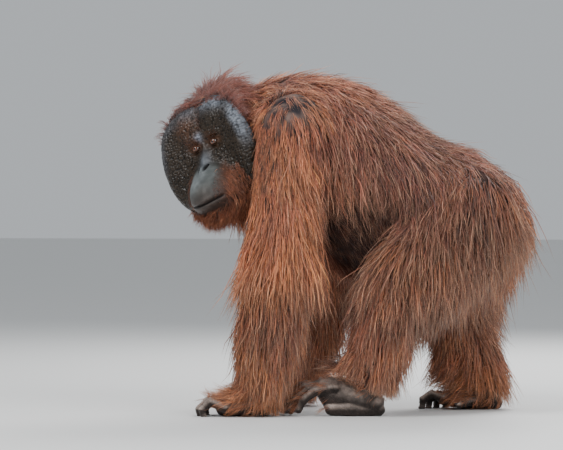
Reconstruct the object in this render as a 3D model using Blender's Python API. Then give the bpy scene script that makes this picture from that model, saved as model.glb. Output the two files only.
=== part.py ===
"""Life-size still model of an adult male orangutan with cheek flanges, standing on all fours.

Metres, +Z up. The animal faces -X, its left side is towards -Y, its head is turned far to its left,
and its hands and feet rest on the plane z = 0. Each limb is built on named joints; each node is carved
by its neighbours with a thin gap, and then carries its locks of long coat.
"""

import math
import random

import bmesh
import bpy
import numpy as np
from mathutils import Matrix, Vector
from mathutils.bvhtree import BVHTree

GAP = 0.0003
CARVING_GAP = 0.00042
SEED = 7

# Skeleton joints: the left limbs are on the -Y side.
JOINTS = {
    "left_shoulder": Vector((-0.116, -0.170, 0.728)),
    "left_elbow": Vector((-0.122, -0.262, 0.385)),
    "left_wrist": Vector((-0.176, -0.238, 0.078)),
    "right_shoulder": Vector((-0.140, 0.172, 0.728)),
    "right_elbow": Vector((-0.090, 0.255, 0.375)),
    "right_wrist": Vector((-0.156, 0.195, 0.078)),
    "left_hip": Vector((0.325, -0.105, 0.500)),
    "left_knee": Vector((0.158, -0.225, 0.345)),
    "left_ankle": Vector((0.088, -0.178, 0.082)),
    "right_hip": Vector((0.325, 0.105, 0.495)),
    "right_knee": Vector((0.235, 0.215, 0.295)),
    "right_ankle": Vector((0.345, 0.150, 0.078)),
}

# Torso sections: place along X, height of the back, height of the belly and half the width.
TORSO = [
    (-0.222, 0.808, 0.580, 0.085),
    (-0.160, 0.842, 0.475, 0.155),
    (-0.065, 0.850, 0.405, 0.180),
    (0.031, 0.828, 0.358, 0.198),
    (0.129, 0.770, 0.342, 0.205),
    (0.232, 0.716, 0.360, 0.195),
    (0.334, 0.658, 0.380, 0.172),
    (0.400, 0.590, 0.390, 0.130),
    (0.432, 0.522, 0.420, 0.070),
]
TORSO_SIDES = 18
TORSO_STATIONS = 12

# Half of the coat's depth: the flesh with this much added is the core that carries the locks.
CORE_COAT = 0.022

# Limb segments: the joints that each runs between, and its flesh radii at the start, middle and end.
LIMBS = {
    "upper_arm": ("shoulder", "elbow", (0.074, 0.074, 0.062)),
    "forearm": ("elbow", "wrist", (0.064, 0.064, 0.038)),
    "thigh": ("hip", "knee", (0.105, 0.092, 0.064)),
    "shank": ("knee", "ankle", (0.062, 0.058, 0.040)),
}
LIMB_SIDES = 10

# Head: the point midway between the eyes, and how far the head is turned, nodded and tilted.
EYE_POINT = Vector((-0.341, -0.150, 0.678))
HEAD_TURN = math.radians(67)
HEAD_NOD = math.radians(3)
HEAD_TILT = math.radians(19)

# Half outline of the face seen from the front: across from the middle, and up from the eyes.
FACE_OUTLINE = [
    (0.000, 0.112),
    (0.035, 0.117),
    (0.070, 0.113),
    (0.100, 0.088),
    (0.124, 0.048),
    (0.138, 0.004),
    (0.143, -0.040),
    (0.137, -0.080),
    (0.122, -0.120),
    (0.093, -0.151),
    (0.066, -0.172),
    (0.040, -0.190),
    (0.000, -0.197),
]
FACE_CENTRE = (0.0, -0.025)
FACE_STEPS = 32
MOUTH_RADIUS = 0.130
MOUTH_HALF_ANGLE = math.radians(20)
FACE_RINGS = (0.020, 0.040, 0.060, 0.080, 0.098, 0.114, 0.125, 0.130, 0.135, 0.144)
RING_SHARE = 0.88
OUTER_RINGS = (0.55,)
BACK_RINGS = (0.90, 0.60)
FLANGE_THICKNESS = 0.036
FLANGE_CUT = 0.083

EYE_RADIUS = 0.0120
EYE_ACROSS = 0.029
EYE_DEPTH = -0.0125
LID_THICKNESS = 0.0032

# Stations of a hand and of each foot: distance ahead of the heel, half width, height of the middle
# and half depth.
PALM = [
    (-0.004, 0.034, 0.030, 0.030),
    (0.030, 0.042, 0.026, 0.025),
    (0.070, 0.047, 0.022, 0.022),
    (0.103, 0.047, 0.020, 0.020),
]
HIGH_FOOT = [
    (0.002, 0.028, 0.027, 0.028),
    (0.040, 0.035, 0.036, 0.036),
    (0.080, 0.039, 0.048, 0.043),
    (0.112, 0.042, 0.056, 0.046),
    (0.138, 0.041, 0.075, 0.029),
]
FLAT_FOOT = [
    (0.002, 0.026, 0.026, 0.027),
    (0.040, 0.034, 0.029, 0.030),
    (0.080, 0.040, 0.029, 0.029),
    (0.115, 0.042, 0.027, 0.024),
    (0.132, 0.042, 0.026, 0.019),
]
# Digits: phalanx lengths, the bends between them, and the radii at their ends.
FINGERS = ((0.046, 0.034, 0.025), (68, 60), (0.0125, 0.0122, 0.0108, 0.0085))
HIGH_TOES = ((0.058, 0.047, 0.034), (28, 30), (0.0132, 0.0128, 0.0114, 0.0092))
FLAT_TOES = ((0.036, 0.028, 0.021), (52, 56), (0.0122, 0.0118, 0.0106, 0.0088))
THUMB = ((0.032, 0.024), (8,), (0.0125, 0.0105, 0.0080))
BIG_TOE = ((0.034, 0.022), (10,), (0.0145, 0.0120, 0.0090))

# The palm and the sole rest flat; the floor plane trims them.
FLOOR_BOX = 1.0


def smooth_step(x):
    """0 below 0, 1 above 1 and an even ease between."""
    x = min(max(x, 0.0), 1.0)
    return x * x * (3 - 2 * x)


def bell(x, width):
    """A bell curve of height 1 at x = 0."""
    return math.exp(-((x / width) ** 2))


def head_axes():
    """The head's forward, left and up directions."""
    turned = Matrix.Rotation(HEAD_TURN, 3, "Z")
    forward = turned @ Vector((-math.cos(HEAD_NOD), 0, -math.sin(HEAD_NOD)))
    left = turned @ Vector((0, -1, 0))
    tilt = Matrix.Rotation(HEAD_TILT, 3, forward)
    left = tilt @ left
    return forward, left, forward.cross(left)


FORWARD, LEFT, UP = head_axes()


def head_point(across, forward, up):
    """A point of the head frame, whose origin is midway between the eyes, in the model's frame."""
    return EYE_POINT + LEFT * across + FORWARD * forward + UP * up


def new_object(name, points, faces, colour=None):
    """An object of that closed mesh, with its faces pointing out."""
    mesh = bpy.data.meshes.new(name)
    mesh.from_pydata([tuple(p) for p in points], [], faces)
    bm = bmesh.new()
    bm.from_mesh(mesh)
    bmesh.ops.triangulate(bm, faces=bm.faces)
    bmesh.ops.recalc_face_normals(bm, faces=bm.faces)
    bm.to_mesh(mesh)
    bm.free()
    obj = bpy.data.objects.new(name, mesh)
    bpy.context.scene.collection.objects.link(obj)
    if colour:
        mesh.materials.append(material(colour))
    return obj


COLOURS = {
    "coat": ((0.36, 0.13, 0.05), 0.75),
    "hide": ((0.09, 0.07, 0.06), 0.55),
    "eye": ((0.20, 0.07, 0.02), 0.12),
}


def material(name):
    """The Principled material of that name, made once."""
    made = bpy.data.materials.get(name)
    if made is None:
        made = bpy.data.materials.new(name)
        made.use_nodes = True
        shader = made.node_tree.nodes["Principled BSDF"]
        colour, roughness = COLOURS[name]
        shader.inputs["Base Color"].default_value = (*colour, 1)
        shader.inputs["Roughness"].default_value = roughness
    return made


def ring_faces(count, sides, first_point, last_point):
    """Faces of a closed tube: rings of that many sides with a point closing each end."""
    faces = [(first_point, (k + 1) % sides, k) for k in range(sides)]
    for ring in range(count - 1):
        for k in range(sides):
            a = ring * sides + k
            b = ring * sides + (k + 1) % sides
            faces.append((a, b, b + sides, a + sides))
    base = (count - 1) * sides
    faces += [(base + k, base + (k + 1) % sides, last_point) for k in range(sides)]
    return faces


def tube(name, centres, radii, sides, across, colour="coat", cap=1.0, turns=((60, 30), (30, 60))):
    """A closed tube with rounded ends. radii are pairs: along the across direction, and square to it."""
    centres = [Vector(c) for c in centres]
    across = Vector(across)
    rings = []
    for i, (centre, (wide, deep)) in enumerate(zip(centres, radii)):
        ahead = centres[min(i + 1, len(centres) - 1)] - centres[max(i - 1, 0)]
        ahead.normalize()
        side = (across - ahead * across.dot(ahead)).normalized()
        rings.append((centre, ahead, side, ahead.cross(side), wide, deep))
    full = []
    first, last = rings[0], rings[-1]
    for turn in map(math.radians, turns[0]):
        centre, ahead, side, up, wide, deep = first
        back = centre - ahead * (wide + deep) / 2 * cap * math.sin(turn)
        full.append((back, ahead, side, up, wide * math.cos(turn), deep * math.cos(turn)))
    full += rings
    for turn in map(math.radians, turns[1]):
        centre, ahead, side, up, wide, deep = last
        front = centre + ahead * (wide + deep) / 2 * cap * math.sin(turn)
        full.append((front, ahead, side, up, wide * math.cos(turn), deep * math.cos(turn)))
    points = []
    for centre, ahead, side, up, wide, deep in full:
        for k in range(sides):
            angle = 2 * math.pi * k / sides
            points.append(centre + side * wide * math.cos(angle) + up * deep * math.sin(angle))
    points.append(first[0] - first[1] * (first[4] + first[5]) / 2 * cap)
    points.append(last[0] + last[1] * (last[4] + last[5]) / 2 * cap)
    count = len(full) * sides
    return new_object(name, points, ring_faces(len(full), sides, count, count + 1), colour)


def ellipsoid(name, centre, axes, colour="coat", segments=14, rings=9):
    """A closed ellipsoid; axes are its three half axes as vectors."""
    points = []
    for i in range(1, rings):
        lift = math.pi * i / rings - math.pi / 2
        for k in range(segments):
            turn = 2 * math.pi * k / segments
            points.append(
                centre
                + axes[0] * math.cos(lift) * math.cos(turn)
                + axes[1] * math.cos(lift) * math.sin(turn)
                + axes[2] * math.sin(lift)
            )
    points += [centre - axes[2], centre + axes[2]]
    count = (rings - 1) * segments
    return new_object(name, points, ring_faces(rings - 1, segments, count, count + 1), colour)


def boolean(obj, others, operation, solver="EXACT"):
    """Applies one Boolean with all the others, and removes them."""
    group = bpy.data.collections.new("tools")
    bpy.context.scene.collection.children.link(group)
    for other in others:
        bpy.context.scene.collection.objects.unlink(other)
        group.objects.link(other)
    modifier = obj.modifiers.new("join", "BOOLEAN")
    modifier.operation = operation
    modifier.solver = solver
    modifier.operand_type = "COLLECTION"
    modifier.collection = group
    bpy.context.view_layer.update()
    graph = bpy.context.evaluated_depsgraph_get()
    made = bpy.data.meshes.new_from_object(obj.evaluated_get(graph))
    obj.modifiers.remove(modifier)
    obj.data = made
    for other in others:
        bpy.data.objects.remove(other)
    bpy.data.collections.remove(group)
    return obj


def keep_largest(obj):
    """Leaves only the largest closed surface of the mesh, in triangles."""
    bm = bmesh.new()
    bm.from_mesh(obj.data)
    bmesh.ops.remove_doubles(bm, verts=bm.verts, dist=1e-6)
    bmesh.ops.dissolve_degenerate(bm, edges=bm.edges, dist=2e-6)
    bmesh.ops.triangulate(bm, faces=bm.faces)
    left = set(bm.faces)
    islands = []
    while left:
        start = left.pop()
        island, stack = {start}, [start]
        while stack:
            for edge in stack.pop().edges:
                for face in edge.link_faces:
                    if face in left:
                        left.remove(face)
                        island.add(face)
                        stack.append(face)
        islands.append(island)
    islands.sort(key=lambda island: sum(f.calc_area() for f in island))
    for island in islands[:-1]:
        bmesh.ops.delete(bm, geom=list(island), context="FACES")
    loose = [v for v in bm.verts if not v.link_faces]
    bmesh.ops.delete(bm, geom=loose, context="VERTS")
    bmesh.ops.recalc_face_normals(bm, faces=bm.faces)
    bm.to_mesh(obj.data)
    bm.free()
    return obj


def box_of(obj):
    """Lowest and highest corners of the object's mesh."""
    points = np.array([v.co for v in obj.data.vertices])
    return points.min(0), points.max(0)


def boxes_meet(first, second, room=0.002):
    """Whether two pairs of corners come within that room of each other."""
    return bool(np.all(first[0] - room < second[1]) and np.all(second[0] - room < first[1]))


def grown(shape, by):
    """An object of that mesh whose surface stands that much further out."""
    mesh = shape.copy()
    normals = [v.normal.copy() for v in mesh.vertices]
    for vertex, normal in zip(mesh.vertices, normals):
        vertex.co += normal * by
    copy = bpy.data.objects.new("grown", mesh)
    bpy.context.scene.collection.objects.link(copy)
    return copy


FINISHED = {}
WHOLE_SHAPES = {}


def finish(obj, neighbours=(), whole=True):
    """Carves the node clear of the neighbours made before it, and keeps it as finished.

    The cutters are the neighbours' whole shapes, from before their own carving, grown by the gap.
    """
    if whole:
        WHOLE_SHAPES[obj.name] = obj.data.copy()
    for name in neighbours:
        if boxes_meet(box_of(obj), box_of(FINISHED[name])):
            boolean(obj, [grown(WHOLE_SHAPES[name], CARVING_GAP)], "DIFFERENCE")
    keep_largest(obj)
    if not whole:
        WHOLE_SHAPES[obj.name] = obj.data.copy()
    FINISHED[obj.name] = obj
    return obj


def trim_to_floor(obj):
    """Cuts off what lies below z = 0, which leaves the flats that the animal rests on."""
    size = FLOOR_BOX
    corners = [(x, y, z) for x in (-size, size) for y in (-size, size) for z in (-size, 0.0)]
    faces = [(0, 1, 3, 2), (4, 6, 7, 5), (0, 4, 5, 1), (2, 3, 7, 6), (0, 2, 6, 4), (1, 5, 7, 3)]
    return boolean(obj, [new_object("below", corners, faces)], "DIFFERENCE")


# The face as a height over the plane of the eyes.


def muzzle(across, up):
    """The snout: a dome with its crest over the upper lip."""
    reach_up, reach_down, reach_side = 0.085, 0.062, 0.072
    crest = -0.135
    vertical = (up - crest) / (reach_up if up > crest else reach_down)
    away = abs(across / reach_side) ** 2.3 + vertical**2
    return 0.094 * math.exp(-1.5 * away**1.3)


def mouth_groove(across, up):
    """How near a point is to the line between the lips, from 0 to 1."""
    x, z = across - FACE_CENTRE[0], up - FACE_CENTRE[1]
    radius, angle = math.hypot(x, z), abs(math.atan2(x, -z))
    return bell(radius - MOUTH_RADIUS, 0.0032) * (1 - smooth_step((angle / MOUTH_HALF_ANGLE - 0.9) / 0.2))


def face_height(across, up):
    """How far the face stands forward of the eyes' plane at that place."""
    side = abs(across)
    height = -0.004 + muzzle(across, up)
    height -= 0.020 * smooth_step((up - 0.045) / 0.070)
    height += 0.014 * bell(side - 0.112, 0.030) * bell(up + 0.010, 0.110)
    height += 0.011 * bell(side - 0.045, 0.030) * bell(up - 0.072, 0.034)
    height -= 0.004 * bell(across, 0.010) * smooth_step((up - 0.025) / 0.02)
    height += 0.013 * bell(across, 0.012) * bell(up + 0.038, 0.030)
    height += 0.006 * bell(side - 0.030, 0.026) * bell(up - 0.024, 0.010)
    height -= 0.013 * bell(side - EYE_ACROSS, 0.022) * bell(up, 0.017)
    height -= 0.011 * mouth_groove(across, up)
    return height


def outline_radius(angle):
    """Distance from the face's centre to its outline, at an angle measured from straight up."""
    angles, radii = [], []
    for across, up in FACE_OUTLINE:
        x, z = across - FACE_CENTRE[0], up - FACE_CENTRE[1]
        angles.append(math.atan2(x, z))
        radii.append(math.hypot(x, z))
    spread = math.radians(7)
    turn = abs((angle + math.pi) % (2 * math.pi) - math.pi)
    tries = [abs(turn - spread), turn, math.pi - abs(math.pi - turn - spread)]
    return float(np.mean(np.interp(tries, angles, radii)))


def rim_fade(share):
    """Thickness of the face's rim, from 1 inside to 0 at the outline."""
    inside = min(max((share - 0.80) / 0.20, 0.0), 1.0)
    return math.sqrt(1 - inside**2)


def head_shell():
    """The whole head with its cheek flanges: a front sheet and a back sheet that meet at the outline."""
    points = []

    def put(angle, radius, share, front):
        across = FACE_CENTRE[0] + radius * math.sin(angle)
        up = FACE_CENTRE[1] + radius * math.cos(angle)
        half = FLANGE_THICKNESS / 2 * rim_fade(share)
        if front:
            depth = face_height(across, up) - FLANGE_THICKNESS / 2 + half
        else:
            depth = -FLANGE_THICKNESS / 2 - half
        points.append(head_point(across, depth, up))

    angles = [2 * math.pi * k / FACE_STEPS for k in range(FACE_STEPS)]
    for ring in FACE_RINGS:
        for angle in angles:
            edge = outline_radius(angle)
            radius = ring * min(1.0, RING_SHARE * edge / FACE_RINGS[-1])
            put(angle, radius, radius / edge, True)
    for share in (*OUTER_RINGS, 1.0):
        for angle in angles:
            edge = outline_radius(angle)
            inner = min(FACE_RINGS[-1], RING_SHARE * edge)
            radius = inner + (edge - inner) * share
            put(angle, radius, radius / edge, True)
    for share in BACK_RINGS:
        for angle in angles:
            put(angle, outline_radius(angle) * share, share, False)
    count = len(points) // FACE_STEPS
    put(0.0, 0.0, 0.0, True)
    put(0.0, 0.0, 0.0, False)
    faces = ring_faces(count, FACE_STEPS, len(points) - 2, len(points) - 1)
    head = new_object("head", points, faces, "hide")
    skull = ellipsoid("skull", head_point(0, -0.086, 0.034),
                      (LEFT * 0.092, FORWARD * 0.092, UP * 0.132 - FORWARD * 0.022), "hide", 16, 10)
    return boolean(head, [skull], "UNION")


def split_off(obj, name, normal, place):
    """Cuts the object at across = place, keeps what lies inwards, and returns the rest as a new object."""

    def half(source, outer, at):
        bm = bmesh.new()
        bm.from_mesh(source.data)
        cut = bmesh.ops.bisect_plane(
            bm,
            geom=bm.verts[:] + bm.edges[:] + bm.faces[:],
            plane_co=head_point(at, 0, 0),
            plane_no=normal,
            clear_outer=not outer,
            clear_inner=outer,
        )
        rim = [e for e in cut["geom_cut"] if isinstance(e, bmesh.types.BMEdge)]
        bmesh.ops.triangle_fill(bm, edges=rim, use_beauty=True)
        bmesh.ops.recalc_face_normals(bm, faces=bm.faces)
        mesh = bpy.data.meshes.new(name)
        bm.to_mesh(mesh)
        bm.free()
        return mesh

    side = 1 if place > 0 else -1
    outer_mesh = half(obj, True, place + side * GAP / 2)
    inner_mesh = half(obj, False, place - side * GAP / 2)
    outer_mesh.materials.append(material("hide"))
    obj.data = inner_mesh
    obj.data.materials.append(material("hide"))
    piece = bpy.data.objects.new(name, outer_mesh)
    bpy.context.scene.collection.objects.link(piece)
    return piece


def eye_opening(side):
    """The almond prism between the lids."""
    half_width, half_height, steps = 0.0135, 0.0060, 10
    points = []
    for depth in (-0.014, 0.05):
        for k in range(steps):
            angle = 2 * math.pi * k / steps
            across = half_width * math.cos(angle)
            up = half_height * math.sin(angle) * (1 - 0.25 * abs(math.cos(angle)) ** 3)
            points.append(head_point(side * EYE_ACROSS + across, depth, up + 0.06 * side * across))
    faces = [tuple(range(steps)), tuple(range(2 * steps - 1, steps - 1, -1))]
    faces += [(k, (k + 1) % steps, steps + (k + 1) % steps, steps + k) for k in range(steps)]
    return new_object("opening", points, faces)


def make_head():
    """The head, its two flanges, eyes and ears."""
    head = head_shell()
    lids = []
    for side in (1, -1):
        size = EYE_RADIUS + LID_THICKNESS
        centre = head_point(side * EYE_ACROSS, EYE_DEPTH, 0)
        axes = (LEFT * size * 1.25, UP * size * 0.95, FORWARD * size)
        lids.append(ellipsoid("lid", centre, axes, "hide", 10, 7))
    boolean(head, lids, "UNION")
    keep_largest(head)
    pieces = {}
    for side, name in ((1, "left_flange"), (-1, "right_flange")):
        pieces[name] = split_off(head, name, LEFT * side, side * FLANGE_CUT)
    for side, name in ((1, "left_eye"), (-1, "right_eye")):
        centre = head_point(side * EYE_ACROSS, EYE_DEPTH, 0)
        size = EYE_RADIUS
        eye = ellipsoid(name, centre, (LEFT * size, UP * size, FORWARD * size), "eye", 10, 7)
        boolean(head, [grown(eye.data, GAP)], "DIFFERENCE")
        boolean(head, [eye_opening(side)], "DIFFERENCE")
        FINISHED[name] = eye
    nostrils = []
    for side in (1, -1):
        up = UP * math.cos(math.radians(24)) + LEFT * side * math.sin(math.radians(24))
        out = LEFT * math.cos(math.radians(24)) - UP * side * math.sin(math.radians(24))
        place = head_point(side * 0.0088, face_height(side * 0.0088, -0.060), -0.060)
        nostrils.append(
            ellipsoid("nostril", place, (out * 0.0038, up * 0.0070, FORWARD * 0.012), "hide", 8, 6)
        )
    boolean(head, nostrils, "DIFFERENCE")
    finish(head, ("neck", "torso"), False)
    for piece in pieces.values():
        finish(piece, ("neck", "torso"), False)
    for side, name in ((1, "left_ear"), (-1, "right_ear")):
        make_ear(name, side)


def make_ear(name, side):
    """A small cupped ear behind the flange, turned a little forward."""
    height, width, thickness = 0.023, 0.015, 0.008
    out = (LEFT * side * 0.75 + FORWARD * 0.55).normalized()
    along = out.cross(UP).normalized()
    centre = head_point(side * 0.093, -0.060, 0.002)
    ear = ellipsoid(name, centre, (along * width, out * thickness, UP * height), "hide", 10, 7)
    cup_centre = centre + out * thickness * 0.75
    cup_axes = (along * width * 0.66, out * thickness * 0.8, UP * height * 0.7)
    cup = ellipsoid("cup", cup_centre, cup_axes, "hide", 8, 5)
    boolean(ear, [cup], "DIFFERENCE")
    finish(ear, ("head", "left_flange", "right_flange", "neck", "torso"))


def curve_through(values, count):
    """Rows of numbers drawn as smooth curves, read at that many even places."""
    rows = np.array(values, float)
    at = np.linspace(0, len(rows) - 1, count)
    out = []
    for t in at:
        i = min(int(t), len(rows) - 2)
        f = t - i
        before, after = rows[max(i - 1, 0)], rows[min(i + 2, len(rows) - 1)]
        a, b = rows[i], rows[i + 1]
        slope_a, slope_b = (b - before) / 2, (after - a) / 2
        out.append(
            a * (2 * f**3 - 3 * f**2 + 1)
            + slope_a * (f**3 - 2 * f**2 + f)
            + b * (3 * f**2 - 2 * f**3)
            + slope_b * (f**3 - f**2)
        )
    return out


def make_torso():
    """The trunk, from the chest to the rump, with the core of its coat."""
    rows = curve_through(TORSO, TORSO_STATIONS)
    centres, radii = [], []
    for x, back, belly, half_width in rows:
        centres.append((x, 0, (back + belly) / 2))
        radii.append((half_width + CORE_COAT, (back - belly) / 2 + CORE_COAT))
    torso = tube("torso", centres, radii, TORSO_SIDES, (0, 1, 0), cap=0.35)
    finish(torso)


def make_neck():
    """The short thick neck, and the throat pouch that hangs under it."""
    base = Vector((-0.185, -0.005, 0.705))
    nape = Vector((-0.285, -0.030, 0.715))
    neck = tube("neck", [base, (base + nape) / 2, nape], [(0.120, 0.122), (0.100, 0.112), (0.088, 0.104)],
                16, (0, 1, 0), cap=0.4)
    pouch = ellipsoid("pouch", Vector((-0.262, -0.085, 0.575)),
                      (Vector((0.070, 0, 0.02)), Vector((0, 0.085, 0)), Vector((-0.02, 0, 0.075))))
    boolean(neck, [pouch], "UNION")
    finish(neck, ("torso",))


def make_limbs():
    """Arms and legs, each in two lengths."""
    for side in ("left", "right"):
        for part, (start, end, radii) in LIMBS.items():
            first, last = JOINTS[f"{side}_{start}"], JOINTS[f"{side}_{end}"]
            rows = curve_through([(*first.lerp(last, t / 2), radii[t]) for t in range(3)], 6)
            if part in ("forearm", "shank"):
                rows = rows[:-1] + [rows[-1] - np.array([0, 0, 0, 0.004])]
            centres = [Vector(row[:3]) for row in rows]
            sizes = [(row[3] + CORE_COAT, row[3] + CORE_COAT) for row in rows]
            turns = ((50,), (50,))
            limb = tube(f"{side}_{part}", centres, sizes, LIMB_SIDES, (1, 0, 0), cap=0.8, turns=turns)
            others = ["head", "left_flange", "right_flange", "neck", "torso"]
            others += [f"{side}_{p}" for p in LIMBS if f"{side}_{p}" in FINISHED]
            finish(limb, others)


def digit(base, heading, pitch, kind, longer=1.0):
    """One finger or toe: a chain of phalanges that bends down from joint to joint."""
    lengths, bends, radii = kind
    points, sizes = [Vector(base)], [radii[0]]
    direction = Vector(heading).normalized()
    for bend, length, end in zip((0, *bends), lengths, radii[1:]):
        pitch -= bend
        step = direction * math.cos(math.radians(pitch)) + Vector((0, 0, 1)) * math.sin(math.radians(pitch))
        points.append(points[-1] + step * length * longer)
        sizes.append(end)
    across = direction.cross(Vector((0, 0, 1)))
    rounds = [(r, r * 0.95) for r in sizes]
    return tube("digit", points, rounds, 7, across, "hide", cap=0.9, turns=((), (45,)))


def bearings(side, turn):
    """The level direction a hand or foot points in, and the one across it, away from the body."""
    ahead = Vector((-math.cos(turn), math.sin(turn), 0))
    lateral = Vector((0, 0, 1)).cross(ahead)
    out = -1 if side == "left" else 1
    return ahead, lateral if lateral.y * out > 0 else -lateral


def sole(name, heel, ahead, lateral, stations, cap):
    """The palm or foot as one lofted body on its stations."""
    centres = [heel + ahead * d + Vector((0, 0, h)) for d, _, h, _ in stations]
    return tube(name, centres, [(wide, deep) for _, wide, _, deep in stations], 12, lateral, "hide", cap=cap)


def make_hand(side, turn):
    """A hand with its palm flat on the floor and its fingers bent before it."""
    wrist = JOINTS[f"{side}_wrist"]
    ahead, lateral = bearings(side, turn)
    heel = Vector((wrist.x, wrist.y, 0.0)) - ahead * 0.008
    hand = sole(f"{side}_hand", heel, ahead, lateral, PALM, 0.5)
    cuff_top = wrist + (JOINTS[f"{side}_elbow"] - wrist).normalized() * 0.030
    cuff_line = [heel + Vector((0, 0, 0.034)) + ahead * 0.004, wrist, cuff_top]
    cuff_radii = [(0.031, 0.028), (0.031, 0.029), (0.031, 0.030)]
    pieces = [tube("cuff", cuff_line, cuff_radii, 10, lateral, "hide", turns=((), (45,)))]
    for k, longer in enumerate((0.96, 1.0, 0.97, 0.86)):
        place = heel + ahead * (0.100 - 0.006 * abs(k - 1.3)) + lateral * (0.0105 + 0.0235 * (k - 1.5))
        place += Vector((0, 0, 0.021))
        pieces.append(digit(place, ahead + lateral * 0.05 * (k - 1.5), 24, FINGERS, longer))
    thumb_root = heel + ahead * 0.030 - lateral * 0.036 + Vector((0, 0, 0.020))
    pieces.append(digit(thumb_root, ahead * 0.75 - lateral * 0.65, -5, THUMB))
    boolean(hand, pieces, "UNION")
    trim_to_floor(hand)
    finish(hand, (f"{side}_forearm",))


def make_foot(side, turn, stations, toes, toe_place, toe_pitch):
    """A foot on its heel and outer edge, with the long toes bent down to the floor.

    toe_place is how far ahead of the heel the toes are rooted, and how high.
    """
    ankle = JOINTS[f"{side}_ankle"]
    ahead, lateral = bearings(side, turn)
    heel = Vector((ankle.x, ankle.y, 0.0)) - ahead * 0.024
    foot = sole(f"{side}_foot", heel, ahead, lateral, stations, 0.6)
    cuff_top = ankle + (JOINTS[f"{side}_knee"] - ankle).normalized() * 0.030
    cuff_line = [heel + ahead * 0.030 + Vector((0, 0, 0.034)), ankle, cuff_top]
    cuff_radii = [(0.034, 0.036), (0.034, 0.036), (0.034, 0.034)]
    pieces = [tube("cuff", cuff_line, cuff_radii, 10, lateral, "hide", turns=((), (45,)))]
    edge = heel + ahead * 0.070 + lateral * 0.024 + Vector((0, 0, 0.019))
    edge_line = [heel + lateral * 0.006 + Vector((0, 0, 0.017)), edge, edge + ahead * 0.046]
    edge_radii = [(0.018, 0.019), (0.017, 0.019), (0.015, 0.018)]
    pieces.append(tube("edge", edge_line, edge_radii, 8, lateral, "hide", turns=((), (45,))))
    reach, height = toe_place
    for k, longer in enumerate((1.0, 1.0, 0.95, 0.84)):
        place = heel + ahead * (reach - 0.012 * k) + lateral * 0.0225 * (k - 1.5)
        place += Vector((0, 0, height - 0.003 * k))
        pieces.append(digit(place, ahead + lateral * 0.06 * (k - 1.5), toe_pitch, toes, longer))
    root = heel + ahead * 0.045 - lateral * 0.026 + Vector((0, 0, 0.022))
    pieces.append(digit(root, ahead * 0.7 - lateral * 0.7, -6, BIG_TOE))
    boolean(foot, pieces, "UNION")
    trim_to_floor(foot)
    finish(foot, (f"{side}_shank",))


# The coat: flat, tapered locks rooted in each core.

# For each node: the way its hair lies, unless it changes from place to place, the spacing of the roots,
# and the length and width of a lock.
LOCKS = {
    "left_shank": ((-0.25, 0, -1), 0.070, 0.130, 0.060),
    "right_shank": ((0.25, 0, -1), 0.082, 0.125, 0.064),
    "left_thigh": ((-0.10, 0, -1), 0.070, 0.185, 0.072),
    "right_thigh": ((0.15, 0, -1), 0.090, 0.170, 0.078),
    "left_forearm": ((-0.20, 0, -1), 0.080, 0.155, 0.066),
    "right_forearm": ((-0.10, 0, -1), 0.084, 0.150, 0.070),
    "left_upper_arm": ((0.0, 0, -1), 0.084, 0.180, 0.072),
    "right_upper_arm": ((0.0, 0, -1), 0.094, 0.175, 0.078),
    "head": (None, 0.038, 0.074, 0.042),
    "neck": (None, 0.072, 0.100, 0.060),
    "torso": (None, 0.090, 0.205, 0.086),
}
# A lock's width at its root and at its two bends, as a share of its full width.
LOCK_SHAPE = (0.60, 1.00, 0.80)
LOCK_FLATNESS = 0.13
ROOT_SINK = 0.011
ROOT_TRIES = 2600
# How a refused lock is tried again: how far it is lifted, and the share of its length that is left.
LOCK_TRIES = ((0.0, 1.0), (0.12, 1.0), (0.24, 1.0), (0.36, 1.0), (0.2, 0.82), (0.2, 0.64), (0.2, 0.46))
LOCK_ROOM = 0.0005
LOCK_SHARES = (0.30, 0.36, 0.34)
LOCK_RISE = (0.012, 0.020, 0.026)
CROWN_RISE = 0.65
BEARD_RISE = 0.30
BEARD_LENGTH = 0.70
BEARD_WIDTH = 0.75
# Where a surface faces up, its locks lie closer, so that the line of the back stays smooth.
BACK_SLOPE = 0.55
BACK_RISE = 0.55
BACK_TRIES = 2
LOWEST_LOCK = 0.010
HIGHEST_LOCK = 0.882
LOOSEST_LOCK = (0.032, 0.060, 0.130)


def surface_tree(obj):
    """A search tree over the object's triangles."""
    bm = bmesh.new()
    bm.from_mesh(obj.data)
    tree = BVHTree.FromBMesh(bm)
    bm.free()
    return tree


def whole_tree():
    """A search tree over every node together."""
    bm = bmesh.new()
    for obj in FINISHED.values():
        bm.from_mesh(obj.data)
    tree = BVHTree.FromBMesh(bm)
    bm.free()
    return tree


def root_places(obj, spacing, rng, allowed):
    """Points spread evenly over the surface, as (place, outward normal)."""
    mesh = obj.data
    mesh.calc_loop_triangles()
    triangles = [[mesh.vertices[i].co for i in t.vertices] for t in mesh.loop_triangles]
    areas = [(b - a).cross(c - a).length / 2 for a, b, c in triangles]
    found = []
    for _ in range(ROOT_TRIES):
        a, b, c = rng.choices(triangles, areas)[0]
        s, t = rng.random(), rng.random()
        if s + t > 1:
            s, t = 1 - s, 1 - t
        place = a + (b - a) * s + (c - a) * t
        normal = (b - a).cross(c - a).normalized()
        if all((place - other).length > spacing for other, _ in found) and allowed(place):
            found.append((place, normal))
    return found


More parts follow.
